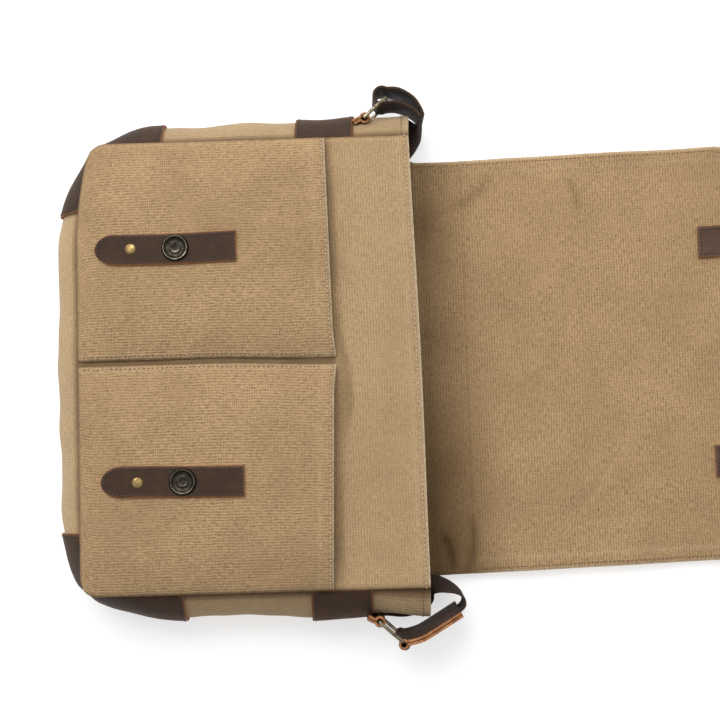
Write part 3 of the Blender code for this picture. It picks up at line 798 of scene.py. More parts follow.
def wire(name, lines, radius, resolution, sharp_angle=38):
    """Round brass wire along one or more lines of points, each of which may be closed."""
    curve = bpy.data.curves.new(name, "CURVE")
    curve.dimensions = "3D"
    curve.bevel_depth = radius
    curve.bevel_resolution = resolution
    curve.use_fill_caps = True
    for points, closed in lines:
        spline = curve.splines.new("POLY")
        spline.points.add(len(points) - 1)
        for knot, point in zip(spline.points, points):
            knot.co = (*point, 1.0)
        spline.use_cyclic_u = closed
    curve.materials.append(FINISH["brass"])
    return settle(in_scene(name, curve), sharp_angle)


def buckle():
    """A cast slider with rounded bars: a frame and the bar across its middle."""
    half_x, half_y, radius = 0.0135, 0.0222, 0.0011
    z = STRAP_LIE_Z + WEBBING / 2 + radius
    lines = []
    for corners, closed in (([(-1, -1), (1, -1), (1, 1), (-1, 1)], True), ([(0, -1), (0, 1)], False)):
        lines.append(([(BUCKLE_X + x * half_x, -RUN_Y + y * half_y, z) for x, y in corners], closed))
    return own(wire("strap_slider", lines, radius, 4), "bag", "brass", "strap_buckle")


def threaded_end():
    """The short webbing's end, flat on the table but for its hump over the buckle's middle bar."""
    over_bar = STRAP_LIE_Z + WEBBING + 0.0022
    hump = [(-0.0155, STRAP_LIE_Z), (-0.0110, STRAP_LIE_Z), (-0.0060, over_bar - 0.0012), (0.0, over_bar),
            (0.0060, over_bar - 0.0012), (0.0110, STRAP_LIE_Z), (0.0150, STRAP_LIE_Z)]
    return smooth_path([(BUCKLE_X + x, -RUN_Y, z, 90) for x, z in hump], 4)


def strap():
    """The buckle and both webbings, which run under the bag from its sides and on below the flap."""
    near_x = RUN_X + FOLD_R
    far_x = RUN_END - FOLD_R
    slider = buckle()
    short = smooth_path(upright_bend(-1), 8)
    short += fold_turn((near_x, -STRAP_SIDE_Y + FOLD_R), 270, 180)
    short += fold_turn((near_x, -RUN_Y - FOLD_R), 180, 90)
    short += threaded_end()
    webbing("webbing_short", short, -1, "strap_webbing_short")
    route = smooth_path(upright_bend(1), 8)
    route += fold_turn((near_x, STRAP_SIDE_Y - FOLD_R), 90, 180)
    route += fold_turn((near_x, RUN_Y + FOLD_R), 180, 270)
    route += fold_turn((far_x, RUN_Y - FOLD_R), 90, 0)
    route += fold_turn((far_x, -RUN_Y + FOLD_R), 0, -90)
    route += [(BUCKLE_X + 0.0155, -RUN_Y, STRAP_LIE_Z, 90)]
    webbing("webbing_long", route, 1, "strap_webbing_long")


# ---------------------------------------------------------------- the bag's own shape

def back_under(x):
    """Height of the back panel's underside, which rises over the strap near the mouth."""
    return LIFT * ease((x - LIFT_START) / (LIFT_END - LIFT_START))


def corner_half_width(x, half_width, bottom_x, radius):
    """Half width of a panel with rounded bottom corners, at x."""
    into = x - bottom_x
    if into >= radius:
        return half_width
    return half_width - radius + math.sqrt(max(radius ** 2 - (radius - into) ** 2, 0.0))


def half_width_at(x, inset=0.0):
    """Half width of the bag's panels at x."""
    return corner_half_width(x, HALF_WIDTH - inset, BOTTOM_X + inset, CORNER_R)


def from_side(x, y):
    """How far inside the panels' side seams a point is."""
    return half_width_at(x) - abs(y)


def from_edge(x, y):
    """How far inside the panels' sewn edges a point is."""
    return min(from_side(x, y), x - BOTTOM_X)


def back_narrowing(x):
    """How much narrower the back panel and lining are than the front, towards the flap."""
    return (HALF_WIDTH - FLAP_HALF) * ease((x - LIFT_END) / (MOUTH_X - LIFT_END))


def mouth_at(x, y):
    """How far the mouth's slant moves a point towards the flap, more the nearer it is to the mouth."""
    share = ease((x - BOTTOM_X) / (MOUTH_X - BOTTOM_X))
    return share * (MOUTH_SKEW * y - 0.0012 * math.sin(math.pi * y / (2 * HALF_WIDTH)) ** 2)


def seam_point(s):
    """Point and outward direction on the panels' seam, a distance s along it from its left mouth end."""
    inner_y = HALF_WIDTH - CORNER_R
    inner_x = BOTTOM_X + CORNER_R
    if s <= SIDE_RUN:
        return Vector((MOUTH_X - s, HALF_WIDTH, 0)), Vector((0, 1, 0))
    if s <= SIDE_RUN + TURN_RUN:
        angle = math.pi / 2 + (s - SIDE_RUN) / CORNER_R
        outward = Vector((math.cos(angle), math.sin(angle), 0))
        return Vector((inner_x, inner_y, 0)) + outward * CORNER_R, outward
    if s <= SIDE_RUN + TURN_RUN + BOTTOM_RUN:
        return Vector((BOTTOM_X, inner_y - (s - SIDE_RUN - TURN_RUN), 0)), Vector((-1, 0, 0))
    mirrored, outward = seam_point(GUSSET_LENGTH - s)
    return Vector((mirrored.x, -mirrored.y, 0)), Vector((outward.x, -outward.y, 0))


def gusset_sag(s, t):
    """Slack in the gusset: long soft waves down its length and small puckers at both seams."""
    seam = min(t, 1 - t)
    waves = ripple(s, t * 0.02, 3.1, 0.060, 0.0042) + ripple(s, t * 0.06, 8.7, 0.024, 0.0016)
    puckers = math.sin(s * 2 * math.pi / 0.0115 + 2 * math.sin(s * 31)) * 0.00035 * max(1 - seam / 0.12, 0.0)
    return waves * math.sin(math.pi * t) + puckers * ease(seam / 0.03)


def gusset_swell(s):
    """How far the gusset bulges at its middle, a distance s along the seam. Both corners pinch it."""
    corner = SIDE_RUN + TURN_RUN / 2
    nearest = min(abs(s - corner), abs(GUSSET_LENGTH - s - corner))
    return GUSSET_BULGE * (1 - CORNER_PINCH * math.exp(-nearest / CORNER_PINCH_REACH))


def mouth_corner(s, t):
    """How far the right side's mouth corner stands out over the strap lying beneath it."""
    return 0.0075 * near(GUSSET_LENGTH - s, 0.050) * max(1 - ((t - 0.74) / 0.25) ** 2, 0.0)


def gusset_point(s, t, offset):
    """Point on the swelling gusset: t runs from 0 at the back seam to 1 at the front seam."""
    on_seam, outward = seam_point(s)
    lower = back_under(on_seam.x) + BACK_THICK + CURVED_GAP
    height = FRONT_Z - GAP - lower
    middle = gusset_swell(s)
    bulge = middle * (1 - (2 * t - 1) ** 2) + mouth_corner(s, t)
    slope = -4 * middle * (2 * t - 1) / height
    away = (outward - Vector((0, 0, slope))).normalized()
    found = on_seam + outward * (bulge - SEAM_INSET) + Vector((0, 0, lower + t * height))
    found += away * (offset + gusset_sag(s, t))
    found.x += mouth_at(found.x, found.y) * t
    return found


def mouth_cutback(t):
    """How far the gusset's mouth edge is cut back at t: not at all by the front, and most by the back."""
    return GUSSET_CUTBACK * max(1 - t / 0.62, 0.0) ** 2.2


def gusset_strip(name, s_start, s_end, offset, thickness, finish, t_range, folded, step, rim=None, **dress):
    """Part of the gusset, or leather on it. Its mouth edge is cut back towards the back seam if folded."""
    low_t, high_t = t_range

    def spot(u, v):
        t = lerp(low_t, high_t, v)
        s = lerp(s_start, s_end, u)
        from_left = max(1 - s / SIDE_RUN, 0.0)
        from_right = max(1 - (GUSSET_LENGTH - s) / SIDE_RUN, 0.0)
        return s + mouth_cutback(t) * (from_left ** 2 - from_right ** 2) * folded, t

    def place(u, v):
        return gusset_point(*spot(u, v), offset)

    flat = (s_end - s_start, GUSSET_WIDTH * (high_t - low_t))
    return cloth_sheet(name, place, flat, step, thickness, finish, rim, **dress)


def outward_at(point):
    """The direction away from the bag at a point on its gusset."""
    inner_y = math.copysign(HALF_WIDTH - CORNER_R, point.y)
    nearest = Vector((max(point.x, BOTTOM_X + CORNER_R), inner_y, point.z))
    away = point - nearest
    if point.x > BOTTOM_X + CORNER_R:
        away = Vector((0, math.copysign(1, point.y), 0))
    elif abs(point.y) < HALF_WIDTH - CORNER_R:
        away = Vector((-1, 0, 0))
    return away.normalized() + UP * (point.z - GUSSET_WIDTH / 2) * 30


def gusset():
    """The strip round the bag's sides and bottom, with its mouth hems and the seams to both panels."""

    # painted shade: a dark line along both seams where the gusset turns in under the panels, and both side
    # runs darker than the bottom run, the right one most, where less light falls
    def shade(u, v):
        seam = min(v, 1 - v)
        left_side = ease((SIDE_RUN - u * GUSSET_LENGTH) / 0.03)
        right_side = ease((SIDE_RUN - (1 - u) * GUSSET_LENGTH) / 0.03)
        return min(1.0 * near(seam - 0.070, 0.018) + 0.20 * left_side + 0.26 * right_side, 1.0)

    def wear(u, v):
        ends = min(u, 1 - u) * GUSSET_LENGTH
        crest = near(abs(v - 0.62), 0.30)
        return 0.55 * near(ends, 0.004) + 0.28 * crest

    piece = gusset_strip("gusset_canvas", 0.0, GUSSET_LENGTH, 0.0, -CANVAS, "gusset", (0.0, 1.0), True,
                         0.0026, wear=wear, shade=shade)
    sewn = []
    for first in (0.0055, GUSSET_LENGTH - 0.0055):
        path = []
        for t in (lerp(0.10, 0.98, share) for share in shares(24)):
            back = mouth_cutback(t)
            path.append(gusset_point(first + (back if first < 1e-2 else -back), t, 0.0001))
        sewn.append(stitches("gusset_hem_stitch", path, outward_at, "thread"))
    own(joined(piece, *sewn), "bag", "gusset_canvas",
        "side_gusset_left", "side_gusset_right", "bottom_gusset")


def leather_on_gusset(name, s_start, s_end, t_range, node):
    """A leather patch on the gusset, with a row of stitches inside each straight end and its long edges."""

    def wear(u, v):
        ends = min(u, 1 - u) * (s_end - s_start)
        return 0.45 * near(ends, 0.0015) + 0.12 * near(abs(v - 0.6), 0.25)

    piece = gusset_strip(name, s_start, s_end, CURVED_GAP, LEATHER, "leather", t_range, False, 0.0026,
                         "edge", wear=wear)
    lift = CURVED_GAP + LEATHER
    rows = []
    for s in (s_start + 0.0025, s_end - 0.0025):
        rows.append([gusset_point(s, lerp(*t_range, 0.03 + 0.94 * share), lift) for share in shares(24)])
    sewn = [stitches(name + "_stitch", row, outward_at, "dark_thread") for row in rows]
    own(joined(piece, *sewn), "bag", "leather", node)


def gusset_leathers():
    """The patches round the bottom corners and the ones that hold the rings' loops."""
    corner = SIDE_RUN + TURN_RUN
    for name, start, end, low_t, node in (
        ("corner_leather_left", SIDE_RUN - 0.0515, corner + 0.038, 0.05, "corner_patch_left"),
        ("corner_leather_right", GUSSET_LENGTH - corner - 0.034, GUSSET_LENGTH - SIDE_RUN + 0.062, 0.05,
         "corner_patch_right"),
        ("side_leather_left", MOUTH_X - 0.085, MOUTH_X - 0.040, 0.14, "side_patch_left"),
        ("side_leather_right", GUSSET_LENGTH - MOUTH_X + 0.040, GUSSET_LENGTH - MOUTH_X + 0.085, 0.14,
         "side_patch_right"),
    ):
        leather_on_gusset(name, start, end, (low_t, 0.965), node)


def edge_roll(x, y, reach, drop):
    """How far a panel's surface turns down towards its seam with the gusset."""
    inside = min(max(from_edge(x, y) / reach, 0.0), 1.0)
    return drop * (1 - math.sqrt(max(1 - (1 - inside) ** 2, 0.0)))


def panel_height(x, y):
    """Top of the front panel's canvas."""
    crown = 0.0016 * (1 - (y / HALF_WIDTH) ** 2) * ease((x - BOTTOM_X) / 0.06)
    slack = ripple(x, y, 1.3, 0.070, 0.0016) + ripple(x, y, 5.9, 0.022, 0.0006)
    slack *= ease(from_edge(x, y) / 0.025)
    return PANEL_TOP + 0.0002 + crown * 0.3 + slack * 0.7 - edge_roll(x, y, 0.004, 0.0014)


def front_panel():
    """The main front panel, with a folded hem along its mouth."""
    def place(u, v):
        x = lerp(BOTTOM_X, MOUTH_X, u)
        y = half_width_at(x) * (2 * v - 1)
        z = panel_height(x, y)
        into_hem = ease((x - (MOUTH_X - MOUTH_HEM)) / 0.0012)
        z += into_hem * 0.0009 - 0.0011 * ease((x - (MOUTH_X - 0.0016)) / 0.0016)
        return (x + mouth_at(x, y), y, z)

    def wear(u, v):
        from_mouth = (1 - u) * (MOUTH_X - BOTTOM_X)
        return 0.85 * near(from_mouth, 0.0022) + 0.18 * near(abs(from_mouth - MOUTH_HEM), 0.002)

    # painted shade: a patchy shadow beside the pockets' mouths, shade in the gap between the pockets, a dark
    # line along the mouth hem's stitch row and along the side seams
    def shade(u, v):
        x = lerp(BOTTOM_X, MOUTH_X, u)
        side = (0.5 - abs(v - 0.5)) * 2 * HALF_WIDTH
        y = HALF_WIDTH * (2 * v - 1)
        patchy = 0.80 + ripple(x, y, 11.0, 0.03, 0.6)
        band = 0.0085 + 0.0070 * near(abs(y + 0.030), 0.050)
        pocket_mouth_shadow = ease((pocket_mouth(y) + band - x) / 0.0035) * patchy
        between = near(abs(y - split_line(x)), 0.006) * ease((POCKET_MOUTH_X + 0.003 - x) / 0.003)
        sewn = 0.45 * near(abs(MOUTH_X - MOUTH_ROW - x), 0.0010)
        return min(sewn + 0.55 * near(side, 0.0022) + 0.36 * pocket_mouth_shadow + 0.45 * between, 1.0)

    size = (MOUTH_X - BOTTOM_X, 2 * HALF_WIDTH)
    piece = cloth_sheet("front_canvas", place, size, 0.0025, -0.0030, "canvas", wear=wear, shade=shade)
    path = []
    x = MOUTH_X - MOUTH_ROW
    for share in shares(169):
        y = (2 * share - 1) * (HALF_WIDTH + 0.001)
        path.append(Vector((x + mouth_at(x, y), y, panel_height(x, y) + 0.0010)))
    row = stitches("front_hem_stitch", path, upward, "pale_thread")
    own(joined(piece, row), "bag", "canvas", "front_panel")


def back_panel():
    """The panel that the bag lies on."""

    def place(u, v):
        x = lerp(BOTTOM_X, HINGE_X - 0.0013, u)
        y = (half_width_at(x) - back_narrowing(x)) * (2 * v - 1)
        return (x, y, back_under(x) + abs(ripple(x, y, 2.2, 0.05, 0.0008)) * ease((x - BOTTOM_X) / 0.03))

    # painted shade: darker along the side seams and towards the mouth, inside the bag under the flap
    def shade(u, v):
        side = (0.5 - abs(v - 0.5)) * 2 * HALF_WIDTH
        return 0.25 * near(side, 0.004) + 0.25 * ease((u - 0.85) / 0.15)

    size = (HINGE_X - BOTTOM_X, 2 * HALF_WIDTH)
    piece = cloth_sheet("back_canvas", place, size, 0.004, CANVAS, "canvas", shade=shade)
    own(piece, "bag", "canvas", "back_panel")


def lining_panel(name, node, height):
    """The lining's panel on the back canvas, or the one that hangs slack under the front canvas."""
    inset = 0.007

    def place(u, v):
        x = lerp(BOTTOM_X + inset, MOUTH_X - 0.006, u)
        y = (half_width_at(x, inset) - back_narrowing(x)) * (2 * v - 1)
        slack = ripple(x, y, 4.4, 0.045, 0.0022) * ease((x - BOTTOM_X) / 0.03)
        if node == "lining_back":
            return (x, y, height + back_under(x) + max(slack, -0.0002))
        return (x, y, height - max(slack, -0.0004) - edge_roll(x, y, 0.012, 0.0035))

    size = (MOUTH_X - BOTTOM_X, 2 * HALF_WIDTH)
    own(cloth_sheet(name, place, size, 0.005, 0.0008, "lining"), "bag", "lining", node)


def lining():
    """A loose cotton bag inside the canvas."""
    lining_panel("lining_cotton_back", "lining_back", BACK_THICK + CURVED_GAP)
    lining_panel("lining_cotton_front", "lining_front", FRONT_Z - 0.0022)
    strip = gusset_strip("lining_cotton_gusset", 0.003, GUSSET_LENGTH - 0.003, -CANVAS - CURVED_GAP - 0.0004,
                         -0.0008, "lining", (0.07, 0.93), True, 0.005)
    own(strip, "bag", "lining", "lining_gusset")


def laptop_sleeve():
    """The padded divider: foam between two cloths, bound along its mouth."""
    floor, ceiling = low("laptop_sleeve"), high("laptop_sleeve")

    def place(u, v):
        x = lerp(floor.x, ceiling.x, u)
        y = lerp(floor.y, ceiling.y, v)
        side = min(x - floor.x, ceiling.x - x, y - floor.y, ceiling.y - y)
        pad = 0.0020 * (1 - ease(side / 0.010))
        quilt = 0.0006 * abs(math.sin(x * math.pi / 0.03)) * abs(math.sin(y * math.pi / 0.03))
        return (x, y, ceiling.z - 0.0006 - pad + quilt)

    size = (ceiling.x - floor.x, ceiling.y - floor.y)
    piece = cloth_sheet("sleeve_pad", place, size, 0.004, -0.0036, "sleeve", bevel=0.0014)
    own(piece, "bag", "sleeve", "laptop_sleeve")


# ---------------------------------------------------------------- pockets and closures

def swell(distance, reach):
    """0 at a sewn edge and 1 beyond reach, rising steeply from the edge."""
    t = min(max(distance / reach, 0.0), 1.0)
    return 1 - (1 - t) ** 2.2


def split_line(x):
    """The y at which the two pockets meet: it slants a little across the panel."""
    return 0.0026 * (1 - ease((x + 0.03) / (POCKET_MOUTH_X + 0.03)))


def from_split(x, y):
    """How far inside the pockets' middle seam a point is."""
    return abs(y - split_line(x)) - POCKET_SPLIT


def pocket_height(x, y):
    """Underside of a pocket, at a point inside its sewn edges. It lies taut under its tab."""
    bottom = swell(x - BOTTOM_X, 0.040)
    outer = swell(HALF_WIDTH - abs(y), 0.045)
    middle = swell(from_split(x, y), 0.045)
    full = bottom * outer * middle
    slack = ripple(x, y, 7.7, 0.055, 0.0016) + ripple(x, y, 2.9, 0.020, 0.0005)
    along_tab = (x - 0.5 * (TAB_START + TAB_END)) / 0.062
    loose = 1 - math.exp(-(along_tab ** 4 + ((abs(y) - TAB_Y) / 0.022) ** 4))
    return PANEL_TOP + 0.0008 + POCKET_RISE * full + slack * full * loose - edge_roll(x, y, 0.006, 0.0026)


def pocket_mouth(y):
    """The pocket mouth's x at y: it reaches furthest at the middle seam."""
    middle = 0.0016 * near(abs(y), 0.025)
    return 0.0631 - (0.016 if y > 0 else 0.027) * abs(y) + 0.004 * y + middle


def pocket(side, word):
    """One patch pocket, with its hemmed mouth and puckered seams."""
    bottom = BOTTOM_X + 0.0006

    def spot(u, v):
        across = v if side > 0 else 1 - v
        y = 0.0
        for _ in range(2):
            x = lerp(bottom, pocket_mouth(side * y), u)
            outer = corner_half_width(x, HALF_WIDTH - 0.0004, bottom, CORNER_R)
            split = POCKET_SPLIT + 0.0012 * ease((x - 0.02) / 0.04)
            y = lerp(split, outer, across)
        return x, side * y + split_line(x) * (1 - across)

    def place(u, v):
        x, y = spot(u, v)
        from_mouth = pocket_mouth(y) - x
        inner = from_split(x, y)
        pucker = math.sin(x * 2 * math.pi / 0.0105 + 3 * math.sin(x * 40)) * 0.00030
        z = pocket_height(x, y) + POCKET_THICK
        z += 0.0008 * near(from_mouth - POCKET_HEM, 0.0015) - 0.0010 * near(from_mouth, 0.0014)
        z -= 0.0009 * near(inner, 0.003)
        z += pucker * math.exp(-((inner - 0.007) / 0.005) ** 2)
        z += pucker * math.exp(-((from_side(x, y) - 0.008) / 0.006) ** 2)
        return (x + POCKET_SKEW * mouth_at(x, y), y, z)

    def wear(u, v):
        x, y = spot(u, v)
        from_mouth = pocket_mouth(y) - x
        worn = 0.75 * near(from_mouth, 0.0020) + 0.25 * near(abs(from_mouth - POCKET_HEM), 0.0016)
        return min(worn + 0.20 * near(abs(from_split(x, y) - 0.003), 0.003), 1.0)

    # painted shade along the mouth hem's stitch row and in the seams at the pockets' middle and outer edges;
    # the smudges are dirt
    def shade(u, v):
        x, y = spot(u, v)
        sewn = 0.45 * near(abs(pocket_mouth(y) - POCKET_ROW - x), 0.0010)
        smudge = max(ripple(x, y, 14.0, 0.032, 0.13), 0.0)
        edges = 0.85 * near(from_split(x, y), 0.0014) + 0.80 * near(from_edge(x, y), 0.0020)
        return min(sewn + smudge + edges, 1.0)

    size = (POCKET_MOUTH_X - BOTTOM_X, HALF_WIDTH)
    piece = cloth_sheet("pocket_canvas_" + word, place, size, 0.0022, -POCKET_THICK, "pocket",
                        wear=wear, shade=shade)
    if side < 0:
        piece.data.flip_normals()
    rows = pocket_rows(side)
    own(joined(piece, *rows), "bag", "canvas", "front_pocket_" + word)


def pocket_rows(side):
    """The stitches along a pocket's mouth hem and along its middle seam."""
    hem_row = []
    seam_row = []
    for share in shares(89):
        y = side * (POCKET_SPLIT + 0.0012 + (HALF_WIDTH - POCKET_SPLIT) * (0.015 + 0.97 * share))
        hem_row.append(on_pocket(pocket_mouth(y) - POCKET_ROW, y, 0.0008))
        x = BOTTOM_X + 0.004 + (POCKET_MOUTH_X - BOTTOM_X - 0.006) * share
        y = split_line(x) + side * (POCKET_SPLIT + 0.0032)
        seam_row.append(on_pocket(x, y, -0.0001))
    return [stitches("pocket_hem_stitch", hem_row, upward, "pale_thread"),
            stitches("pocket_seam_stitch", seam_row, upward, "thread")]


def on_pocket(x, y, lift):
    """A point at a height over a pocket's cloth."""
    return Vector((x + POCKET_SKEW * mouth_at(x, y), y, pocket_height(x, y) + POCKET_THICK + lift))


def tab_surface(x, y):
    """The height that a tab lies at on its pocket."""
    return pocket_height(x, y) + POCKET_THICK + 0.0002


def tab_half_at(x):
    """Half a tab's width at x: it narrows to a blunt point at its lower end."""
    point = min(max((x - TAB_START) / 0.015, 0.0), 1.0)
    return TAB_HALF * max(1 - (1 - point) ** 2, 0.004) ** 0.58


def closure_tab(side, word):
    """A leather tab on a pocket, sewn all round, and its hardware."""
    shift = 0.0 if side > 0 else 0.0025
    length = TAB_END - TAB_START

    def middle_at(x):
        return side * TAB_Y + 0.0008 * math.sin(x * 40 + side)

    def place(u, v):
        x = TAB_START + length * u
        y = middle_at(x) + tab_half_at(x) * (2 * v - 1)
        edge = min(v, 1 - v) * 2 * TAB_HALF
        return (x + shift, y, tab_surface(x + shift, y) + LEATHER - 0.0004 * near(edge, 0.0012))

    def wear(u, v):
        low_edge = near(v * 2 * TAB_HALF, 0.0016)
        edge = min(min(v, 1 - v) * 2 * TAB_HALF, min(u, 1 - u) * length)
        return max(0.85 * near(edge, 0.0011), 0.95 * low_edge)

    piece = cloth_sheet("pocket_leather_" + word, place, (length, 2 * TAB_HALF), 0.0013, -LEATHER, "leather",
                        "edge", wear=wear, bevel=0.0003)
    inset = 0.0019
    along = [TAB_START + inset + (length - 2 * inset) * share for share in shares(50)]
    down_and_up = [(x, 1) for x in [along[-1], *along[::-1]]] + [(x, -1) for x in along] + [(along[-1], 1)]
    path = []
    for x, direction in down_and_up:
        y = middle_at(x) + direction * (tab_half_at(x) - inset)
        path.append(Vector((x + shift, y, tab_surface(x + shift, y) + LEATHER)))
    row = stitches("tab_stitch", path, upward, "tab_thread", pitch=0.0030, length=0.0021)
    own(joined(piece, row), "bag", "leather", "pocket_tab_" + word)
    hardware(side, word, shift)


def hardware(side, word, shift):
    """The rivet and the snap's socket on a tab, and their burr and prong plate behind the canvas."""
    y = side * TAB_Y
    rivet_z = tab_surface(RIVET_X + shift, y) + LEATHER - 0.0001
    rivet = turned("rivet_head_" + word, RIVET_HEAD, (RIVET_X + shift, y, rivet_z), ["rivet"])
    own(rivet, "bag", "brass", "rivet_" + word)
    snap_z = tab_surface(SNAP_X + shift, y) + LEATHER - 0.0001
    snap = turned("snap_ring_" + word, SNAP_SOCKET, (SNAP_X + shift, y, snap_z), ["snap", "snap_rim"])
    own(snap, "bag", "snap_metal", "snap_socket_" + word)
    for node, radius, x, finish, slot in (("rivet_burr_", 0.0035, RIVET_X, "brass", "brass"),
                                          ("snap_plate_", 0.0092, SNAP_X, "snap", "snap_metal")):
        z = tab_surface(x + shift, y) - POCKET_THICK - 0.0006
        disc = ((0, 0.0, 0), (radius * 0.9, 0.0, 0), (radius, -0.0002, 0),
                (radius, -0.0006, 0), (0, -0.0006, 0))
        own(turned(node + "back_" + word, disc, (x + shift, y, z), [finish], 32), "bag", slot, node + word)


# ---------------------------------------------------------------- flap

def crease_at(x, y, crease):
    """How deep in one crease a point is, from 0 to 1."""
    (middle_x, middle_y), (along_x, along_y), length, width, _ = crease
    along = (x - middle_x) * along_x + (y - middle_y) * along_y
    across = (x - middle_x) * along_y - (y - middle_y) * along_x + 0.15 * along * along / length
    return math.exp(-(across / width) ** 2 - (along / length) ** 4)


def flap_bend(x, y):
    """Height of the flap's upper face: nearly flat on the table, with soft creases."""
    free = ease((x - FLAP_MEETING_X) / 0.05)
    slack = ripple(x, y, 6.1, 0.090, 0.0022) + ripple(x, y, 3.3, 0.028, 0.0008)
    crease = sum(crease_at(x, y, one) * one[4] for one in CREASES)
    edge = 0.0010 * math.exp(-((FLAP_HALF - abs(y)) / 0.012) ** 2) * math.sin(x * 60 + y * 20)
    lap = 0.0026 * ease((HINGE_X + 0.004 - x) / 0.006)
    sunk = 0.0014 * ease((x - HINGE_X - 0.008) / 0.012) * ease((HINGE2_X - x) / 0.012)
    bound = ripple(x, y, 9.2, 0.05, 0.0008) * (1 - free)
    return FLAP_TOP + lap - sunk + (slack + crease + edge) * free + bound


def flap_slant(x, y):
    """The flap's slight turn on the table, growing away from the bag."""
    return y + FLAP_SKEW * max(x - HINGE_X, 0.0) - 0.0028


def flap_outline(x):
    """Half the flap's width at x."""
    half = FLAP_HALF + 0.0012
    into = FLAP_END - x
    if into >= FLAP_CORNER_R:
        return half
    return half - FLAP_CORNER_R + math.sqrt(max(FLAP_CORNER_R ** 2 - (FLAP_CORNER_R - into) ** 2, 0.0))


def flap_part(name, x_start, x_end, node, rows):
    """One of the flap's two lengths of canvas. Each crosses one of its two folds."""

    def place(u, v):
        x = lerp(x_start, x_end, u)
        y = flap_outline(x) * (2 * v - 1)
        hem = 0.0007 * near(flap_outline(x) - abs(y) - FLAP_HEM, 0.0015)
        roll = 0.0010 * near(min(flap_outline(x) - abs(y), FLAP_END - x), 0.0013)
        return (x, flap_slant(x, y), flap_bend(x, y) + hem - roll)

    def wear(u, v):
        x = lerp(x_start, x_end, u)
        edge = min((0.5 - abs(v - 0.5)) * 2 * flap_outline(x), FLAP_END - x)
        return 0.70 * near(edge, 0.0018) + 0.22 * near(abs(edge - FLAP_HEM), 0.0016)

    # painted shadow of the bag's body over the flap near its fold, deeper towards the right side and mixed
    # there with dusty dirt; painted shade in the creases; the dusty patches elsewhere are dirt
    def shade(u, v):
        x = lerp(x_start, x_end, u)
        y = FLAP_HALF * (2 * v - 1)
        near_mouth = near(x - HINGE_X, 0.075 + 0.4 * ripple(x, y, 4.4, 0.05, 0.05))
        dusty = max(ripple(x, y, 12.0, 0.045, 0.16), 0.0)
        creased = 0.30 * max(crease_at(x, y, one) for one in CREASES[:4])
        dark = 0.45 + 0.38 * ease((0.02 - y) / 0.14)
        return min((dark + dusty) * near_mouth + 0.45 * dusty + creased, 1.0)

    width = x_end - x_start
    piece = cloth_sheet(name, place, (width, 2 * FLAP_HALF), 0.0026, -CANVAS, "flap", wear=wear, shade=shade)
    sewn = [stitches(name + "_stitch", row, upward, "thread") for row in rows]
    joined(piece, *sewn)
    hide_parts(node)
    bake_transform(piece)
    return piece


def on_flap(x, y, lift):
    """A point at a height over the flap's upper face."""
    return Vector((x, flap_slant(x, y), flap_bend(x, y) + lift))


def flap_edge_row(x_start, x_end, side, inset):
    """A row of points along one long edge of the flap."""
    places = [lerp(x_start, x_end, share) for share in shares(int((x_end - x_start) / 0.003))]
    return [on_flap(x, side * (flap_outline(x) - inset), 0.0006) for x in places]


def flap():
    """Both lengths of the flap's canvas, hemmed and sewn all round, and the leathers on its free edge."""
    start = HINGE_X - 0.0075
    first_rows = [flap_edge_row(start + 0.002, FLAP_MEETING_X - 0.001, side, FLAP_ROW) for side in (1, -1)]
    flap_part("flap_canvas_near", start, FLAP_MEETING_X, "flap_spine",
              first_rows)
    round_start = FLAP_END - FLAP_CORNER_R
    corner_y = FLAP_HALF - FLAP_CORNER_R
    outline = []
    for side, _ in SIDES:
        part = flap_edge_row(FLAP_MEETING_X + 0.001, round_start, side, FLAP_ROW)
        for share in shares(16)[1:]:
            angle = math.radians(90 * (1 - share))
            x = round_start + (FLAP_CORNER_R - FLAP_ROW) * math.cos(angle)
            y = side * (corner_y + (FLAP_CORNER_R - FLAP_ROW) * math.sin(angle))
            part.append(on_flap(x, y, 0.0006))
        outline += part if side > 0 else part[::-1]
    flap_part("flap_canvas_far", FLAP_MEETING_X, FLAP_END, "flap_panel",
              [outline])
    for side, word in SIDES:
        inner_start = 0.3505 if side > 0 else 0.3555
        flap_leather("flap_leather_inner_" + word, "flap_tab_" + word, side, inner_start, False)
        flap_leather("flap_leather_outer_" + word, "flap_strap_" + word, side, 0.292, True)
        snap_stud(side, word)


def flap_leather(name, node, side, x_start, below):
    """Half of the leather folded over the flap's free edge: the tab inside it, or the strap below."""
    x_end = FLAP_END - 0.0006
    half = TAB_HALF * 1.08
    lift = -CANVAS - 0.0004 if below else 0.0007 + LEATHER

    def place(u, v):
        x = lerp(x_start, x_end, u)
        return on_flap(x, side * TAB_Y + half * (2 * v - 1), lift)

    def wear(u, v):
        return 0.5 * near(min(v, 1 - v) * 2 * TAB_HALF, 0.0016)

    piece = cloth_sheet(name, place, (x_end - x_start, 2 * TAB_HALF), 0.0018, -LEATHER,
                        "leather" if below else "tab_leather", "edge", wear=wear, bevel=0.0003)
    inset = 0.0026
    corners = [(x_end - inset, 1), (x_start + inset, 1), (x_start + inset, -1), (x_end - inset, -1)]
    path = []
    for (x0, side0), (x1, side1) in zip(corners, corners[1:]):
        for share in shares(12)[1 if path else 0:]:
            x = lerp(x0, x1, share)
            y = side * TAB_Y + lerp(side0, side1, share) * (half - inset)
            path.append(on_flap(x, y, lift - LEATHER if below else lift))
    row = stitches("flap_leather_stitch", path, downward if below else upward, "dark_thread",
                   pitch=0.0030, length=0.0021)
    own(joined(piece, row), "flap_panel", "leather", node)


